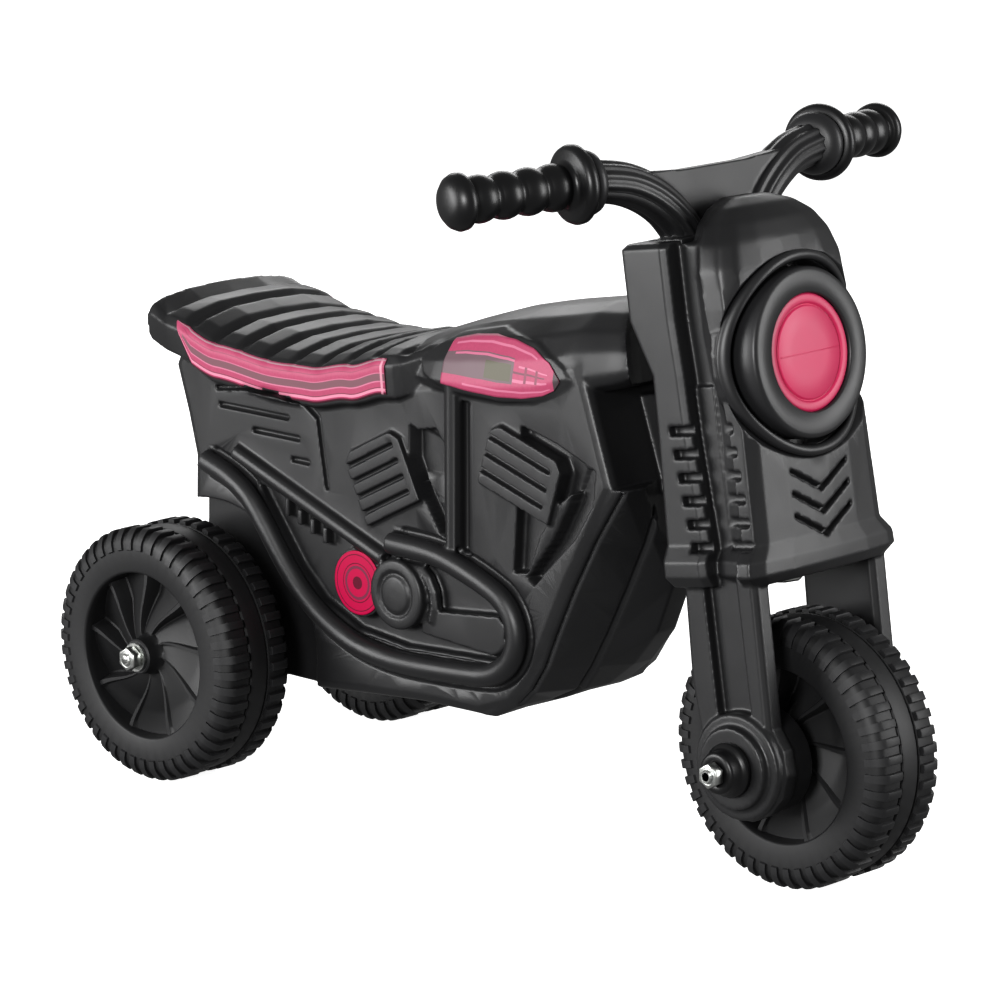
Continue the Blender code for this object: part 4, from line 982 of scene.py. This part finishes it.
def bladed_disc(blades, flip=False, plain=False):
    """Half of a wheel's web: a dished disc whose face is cut into swept blades.

    Around each blade the face falls slowly from its crest and climbs back in a short step.
    """
    rings, steps = 22, 26
    start, end, face = 0.0135, 0.0524, 0.0212
    step_start, crest_start, first_drop = 0.82, 0.90, 0.16
    profile = [(0.0044, 0.0), (0.0044, 0.0305), (0.0102, 0.0305), (0.0110, 0.0297),
               (0.0114, 0.0240), (0.0126, face)]
    profile += [(start + (end - start) * i / rings, face) for i in range(rings + 1)]
    profile += [(end, 0.0)]
    shape = spun(profile, blades * steps)
    pitch = 2 * math.pi / blades
    for vert in shape.verts:
        reach = math.hypot(vert.co.x, vert.co.y)
        if plain or reach < start - 0.0002 or vert.co.z < face - 0.001:
            continue
        share = (reach - start) / (end - start)
        phase = (math.atan2(vert.co.y, vert.co.x) / pitch + 0.5 / steps) % 1
        if phase > crest_start:
            drop = 0.0
        elif phase > step_start:
            drop = 1.0 - (phase - step_start) / 0.08
        else:
            drop = first_drop + (1 - first_drop) * phase / step_start
        depth = 0.0022 + 0.0085 * min(1.0, share * 1.6)
        vert.co.z -= depth * drop
        sweep = math.radians(26) * (1 - (1 - share) ** 2)
        vert.co = Matrix.Rotation(-sweep, 3, "Z") @ vert.co
    if flip:
        shape.transform(Matrix.Rotation(math.pi, 4, "X"))
    bmesh.ops.recalc_face_normals(shape, faces=shape.faces)
    return shape


class BIKE_OT_wheels(bpy.types.Operator):
    """Make the three lugged wheels with turbine blades"""
    bl_idname = "bike.wheels"
    bl_label = "Wheels"

    def execute(self, context):
        settings = context.scene.bike_wheel
        lugs, blades = settings.lug_count, settings.blade_count
        for name in ("rear_wheel_right", "rear_wheel_left", "front_wheel"):
            centre = Vector(JOINTS[name + "_spin"]["pos_m"])
            turn = TO_LEFT if name.endswith("left") else TO_RIGHT
            shape = joined(tread_ring(lugs, settings.lug_height), bladed_disc(blades),
                           bladed_disc(blades, flip=True, plain=name != "front_wheel"))
            shape.transform(Matrix.Translation(centre) @ turn)
            made = piece(name + "_moulding", shape, material("wheel"), name,
                         "black_wheel_plastic", name)
            made.data.set_sharp_from_angle(angle=math.radians(38))
        return {"FINISHED"}


# Decals

def film_grid(low, high, start, end, columns, rows):
    """A grid film between two curves of a side view, with a UV map along and across it."""
    shape = bmesh.new()
    bmesh.ops.create_grid(shape, x_segments=columns, y_segments=rows, size=0.5)
    layer = shape.loops.layers.uv.new("film")
    for face in shape.faces:
        for loop in face.loops:
            loop[layer].uv = (loop.vert.co.x + 0.5, loop.vert.co.y + 0.5)
    for vert in shape.verts:
        along, across = vert.co.x + 0.5, vert.co.y + 0.5
        x = start + (end - start) * along
        vert.co = Vector((rear(x), 0.0, low(x) + (high(x) - low(x)) * across))
    return shape


def lay_film(name, shape, side, finish, slot, node):
    """Press a film onto the body from one side and give it its thickness."""
    clear, proud, thickness = 0.085, 0.00075, 0.0004
    shape.transform(Matrix.Translation((0, side * clear, 0)))
    made = piece(name, shape, material(finish), "frame", slot, node)
    apply(made, "SHRINKWRAP", target=bpy.data.objects["body_moulding"], wrap_method="PROJECT",
          use_project_x=False, use_project_y=True, use_project_z=False,
          use_negative_direction=True, use_positive_direction=True, project_limit=0.05)
    film = bmesh.new()
    film.from_mesh(made.data)
    bmesh.ops.recalc_face_normals(film, faces=film.faces)
    if sum(face.normal.y * side for face in film.faces) < 0:
        bmesh.ops.reverse_faces(film, faces=film.faces)
    for vert in film.verts:
        vert.co.y += side * proud
    bmesh.ops.solidify(film, geom=film.faces, thickness=thickness)
    film.to_mesh(made.data)
    film.free()
    set_finish(made, material(finish))
    return made


class BIKE_OT_decals(bpy.types.Operator):
    """Lay the seat stripes, tank films and engine badges onto the body"""
    bl_idname = "bike.decals"
    bl_label = "Decals"

    def execute(self, context):
        for name, side in (("left", 1), ("right", -1)):
            stripe = film_grid(
                lambda x: seat_edge(x) - 0.0235 + 0.0210 * max(0.0, 1 - (x - STRIPE_START) / 0.014),
                lambda x: seat_edge(x) - 0.0015, STRIPE_START, STRIPE_END, 90, 10)
            lay_film("seat_stripe_film_" + name, stripe, side, "stripe", "pink_vinyl",
                     "seat_stripe_" + name)
            leaf = film_grid(lambda x: read(FILM_LOW, x), lambda x: read(FILM_TOP, x),
                             FILM_TOP[0][0], FILM_TOP[-1][0], 80, 26)
            lay_film("tank_film_" + name, leaf, side, "leaf", "pink_vinyl",
                     "tank_decal_" + name)
            centre = Matrix.Translation((rear(BADGE_CENTRE[0]), 0, BADGE_CENTRE[1]))
            disc = spun([(0, 0.0613), (0.0196, 0.0613), (0.0200, 0.0615), (0.0197, 0.0618),
                         (0.0188, 0.0619), (0, 0.0619)], ROUND_STEPS, centre @ outward(side))
            piece("engine_badge_film_" + name, disc, material("badge"), "frame",
                  "magenta_vinyl", "engine_badge_" + name)
        return {"FINISHED"}


# Fasteners

def hexagon_nut(across, bore, height):
    """A hexagon nut with a chamfered face, on Z from zero."""
    shape = bmesh.new()
    bmesh.ops.create_circle(shape, cap_ends=True, segments=6, radius=across / 3 ** 0.5)
    top = bmesh.ops.extrude_face_region(shape, geom=shape.faces[:])
    bmesh.ops.translate(shape, verts=[v for v in top["geom"]
                                      if isinstance(v, bmesh.types.BMVert)],
                        vec=(0, 0, height))
    bmesh.ops.recalc_face_normals(shape, faces=shape.faces)
    rims = [edge for edge in shape.edges if abs(edge.verts[0].co.z - edge.verts[1].co.z) < 1e-6]
    round_edges(shape, rims, 0.0009, 3)
    collar = spun([(bore, height - 0.0006), (bore + 0.0009, height + 0.0001),
                   (across / 2 - 0.0012, height + 0.0001), (across / 2 - 0.0008, height - 0.0006)],
                  48)
    return joined(shape, collar)


def threaded_end(radius, low, high):
    """The end of a threaded rod, with rings for its thread crests."""
    pitch, root = 0.0010, radius - 0.0004
    profile = [(0, low), (root, low)]
    z = low
    while z < high - 0.0016:
        profile += [(radius, z + 0.0003), (radius, z + 0.0005), (root, z + 0.0008)]
        z += pitch
    profile += [(root, high - 0.0006), (radius - 0.0012, high), (0, high)]
    return spun(profile, 48)


class BIKE_OT_fasteners(bpy.types.Operator):
    """Make the axle nuts, rod ends and dark front cups"""
    bl_idname = "bike.fasteners"
    bl_label = "Nuts and cups"

    def execute(self, context):
        for name in ("front_nut", "rear_nut"):
            body = "steering" if name.startswith("front") else "frame"
            centre = FRONT_AXLE if body == "steering" else Vector((REAR_X, 0, AXLE_HEIGHT))
            for hand, turn in (("left", TO_LEFT), ("right", TO_RIGHT)):
                low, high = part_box(f"{name}_{hand}")
                seat = min(abs(low.y), abs(high.y))
                place = Matrix.Translation(centre) @ turn
                nut = hexagon_nut(0.013, 0.0040, 0.0068)
                nut.transform(place @ Matrix.Translation((0, 0, seat)))
                end = threaded_end(0.0038, seat, seat + 0.0083)
                end.transform(place)
                piece(f"{name}_{hand}_turned", joined(nut, end), material("zinc"), body,
                      "zinc_plated_steel", f"{name}_{hand}")
        low = 0.0673
        profile = [(0.0043, low + 0.0127), (0.0106, low + 0.0127), (0.0118, low + 0.0122),
                   (0.0124, low + 0.0108), (0.0127, low + 0.0060), (0.0138, low + 0.0046),
                   (0.0154, low + 0.0038), (0.0160, low + 0.0026), (0.0160, low),
                   (0.0043, low)]
        for name, turn in (("front_cup_left", TO_LEFT), ("front_cup_right", TO_RIGHT)):
            place = Matrix.Translation(FRONT_AXLE) @ turn
            piece(name + "_moulding", spun(profile, ROUND_STEPS, place), material("grip"),
                  "steering", "dark_grip_plastic", name)
        return {"FINISHED"}


class BIKE_OT_carried(bpy.types.Operator):
    """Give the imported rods, washers, bushes and pin their finishes"""
    bl_idname = "bike.carried"
    bl_label = "Rods and bushes"

    def execute(self, context):
        finishes = {"zinc": ("steering_pin", "steering_washer", "steering_nut", "rear_axle",
                             "front_axle", "rear_washer_left", "rear_washer_right"),
                    "nylon": ("steering_bush_lower", "steering_bush_upper")}
        for finish, nodes in finishes.items():
            for node in nodes:
                item = frame["nodes"][node]
                item.data.materials.clear()
                item.data.materials.append(material(finish))
        return {"FINISHED"}


# Stage

# The camera as it was fitted to the photograph. The offset is how far the foot of the rear axle
# lies to its right, above it and ahead of it, in wheel radii.
CAMERA_TURN = math.radians(43.575)
CAMERA_RISE = math.radians(12.825)
CAMERA_OFFSET = (-1.7102250, -1.9313072, 41.0542164)
WHEEL_RADIUS = 0.08


def area_light(name, location, target, watts, size):
    """A soft rectangular light that the camera doesn't see."""
    data = bpy.data.lights.new(name, "AREA")
    data.shape = "RECTANGLE"
    data.size, data.size_y = size
    data.energy = watts
    made = linked(name, data)
    made.location = location
    made.rotation_euler = (Vector(target) - Vector(location)).to_track_quat("-Z", "Y").to_euler()
    made.visible_camera = False


class BIKE_OT_stage(bpy.types.Operator):
    """Add the pale floor, the soft lights and the camera"""
    bl_idname = "bike.stage"
    bl_label = "Studio"

    def execute(self, context):
        scene = context.scene
        settings = scene.bike_stage
        floor = bmesh.new()
        bmesh.ops.create_grid(floor, x_segments=8, y_segments=8, size=30.0)
        ground = linked("studio_floor", as_mesh("studio_floor", floor))
        ground.data.materials.append(material("floor"))
        ground.visible_glossy = False
        ground.visible_diffuse = False
        world = scene.world or bpy.data.worlds.new("studio")
        scene.world = world
        world.use_nodes = True
        tree = world.node_tree
        tree.nodes.clear()
        # The room's light is dim, and the camera sees it as white.
        path = add(tree, "LightPath")
        room = add(tree, "Background", {"Color": WHITE, "Strength": settings.room_light})
        backdrop = add(tree, "Background", {"Color": WHITE, "Strength": 1.0})
        both = add(tree, "MixShader", {0: path.outputs["Is Camera Ray"], 1: room.outputs[0],
                                       2: backdrop.outputs[0]})
        add(tree, "OutputWorld", {"Surface": both.outputs[0]})
        # The key stands beside the camera. The weaker ones light the flank and rear wheel, the
        # nose, and the far edge of the seat and tank.
        area_light("side", (-1.1, -1.6, 0.50), (0, 0, 0.2), 28.0, (1.1, 1.0))
        area_light("key", (1.2, -2.6, 1.0), (0.1, 0, 0.2), settings.key_watts, (0.8, 0.8))
        area_light("front", (1.7, 1.1, 0.70), (0.15, 0, 0.2), 24.0, (0.8, 1.3))
        area_light("rim", (-1.2, 1.4, 1.15), (0, 0, 0.25), 9.0, (1.4, 0.5))
        turn, rise = CAMERA_TURN, CAMERA_RISE
        right = Vector((math.cos(turn), math.sin(turn), 0))
        back = Vector((math.sin(turn) * math.cos(rise), -math.cos(turn) * math.cos(rise),
                       math.sin(rise)))
        up = back.cross(right)
        x, y, z = CAMERA_OFFSET
        spot = (-x * right - y * up + z * back) * WHEEL_RADIUS + Vector((REAR_X, 0, 0))
        data = bpy.data.cameras.new("photo_view")
        data.lens = settings.lens
        data.sensor_width = 36.0
        camera = linked("photo_view", data)
        camera.matrix_world = Matrix((
            (right.x, up.x, back.x, spot.x), (right.y, up.y, back.y, spot.y),
            (right.z, up.z, back.z, spot.z), (0, 0, 0, 1)))
        scene.camera = camera
        scene.view_settings.view_transform = "Standard"
        scene.view_settings.look = "Medium High Contrast"
        return {"FINISHED"}


OPERATORS = (BIKE_OT_body, BIKE_OT_cowl, BIKE_OT_lamp, BIKE_OT_handlebar, BIKE_OT_grips,
             BIKE_OT_wheels, BIKE_OT_decals, BIKE_OT_fasteners, BIKE_OT_carried, BIKE_OT_stage)


class BIKE_PT_panel(bpy.types.Panel):
    """Lists the bike's pieces in the sidebar"""
    bl_idname = "BIKE_PT_panel"
    bl_label = "Mini bike"
    bl_space_type = "VIEW_3D"
    bl_region_type = "UI"
    bl_category = "Mini bike"

    def draw(self, context):
        for group in ("bike_moulding", "bike_wheel", "bike_trim", "bike_stage"):
            settings = getattr(context.scene, group)
            box = self.layout.box()
            for name in settings.__annotations__:
                box.prop(settings, name)
        for operator in OPERATORS:
            self.layout.operator(operator.bl_idname)


GROUPS = (("bike_moulding", MouldingSettings), ("bike_wheel", WheelSettings),
          ("bike_trim", TrimSettings), ("bike_stage", StageSettings))


def register():
    """Add the settings, operators and panel to Blender."""
    for name, group in GROUPS:
        bpy.utils.register_class(group)
        setattr(bpy.types.Scene, name, bpy.props.PointerProperty(type=group))
    for made in OPERATORS + (BIKE_PT_panel,):
        bpy.utils.register_class(made)


def unregister():
    """Take them out again."""
    for made in reversed(OPERATORS + (BIKE_PT_panel,)):
        bpy.utils.unregister_class(made)
    for name, group in reversed(GROUPS):
        delattr(bpy.types.Scene, name)
        bpy.utils.unregister_class(group)


def main():
    """Make every piece."""
    register()
    for operator in OPERATORS:
        family, action = operator.bl_idname.split(".")
        getattr(getattr(bpy.ops, family), action)()


if __name__ == "__main__":
    main()
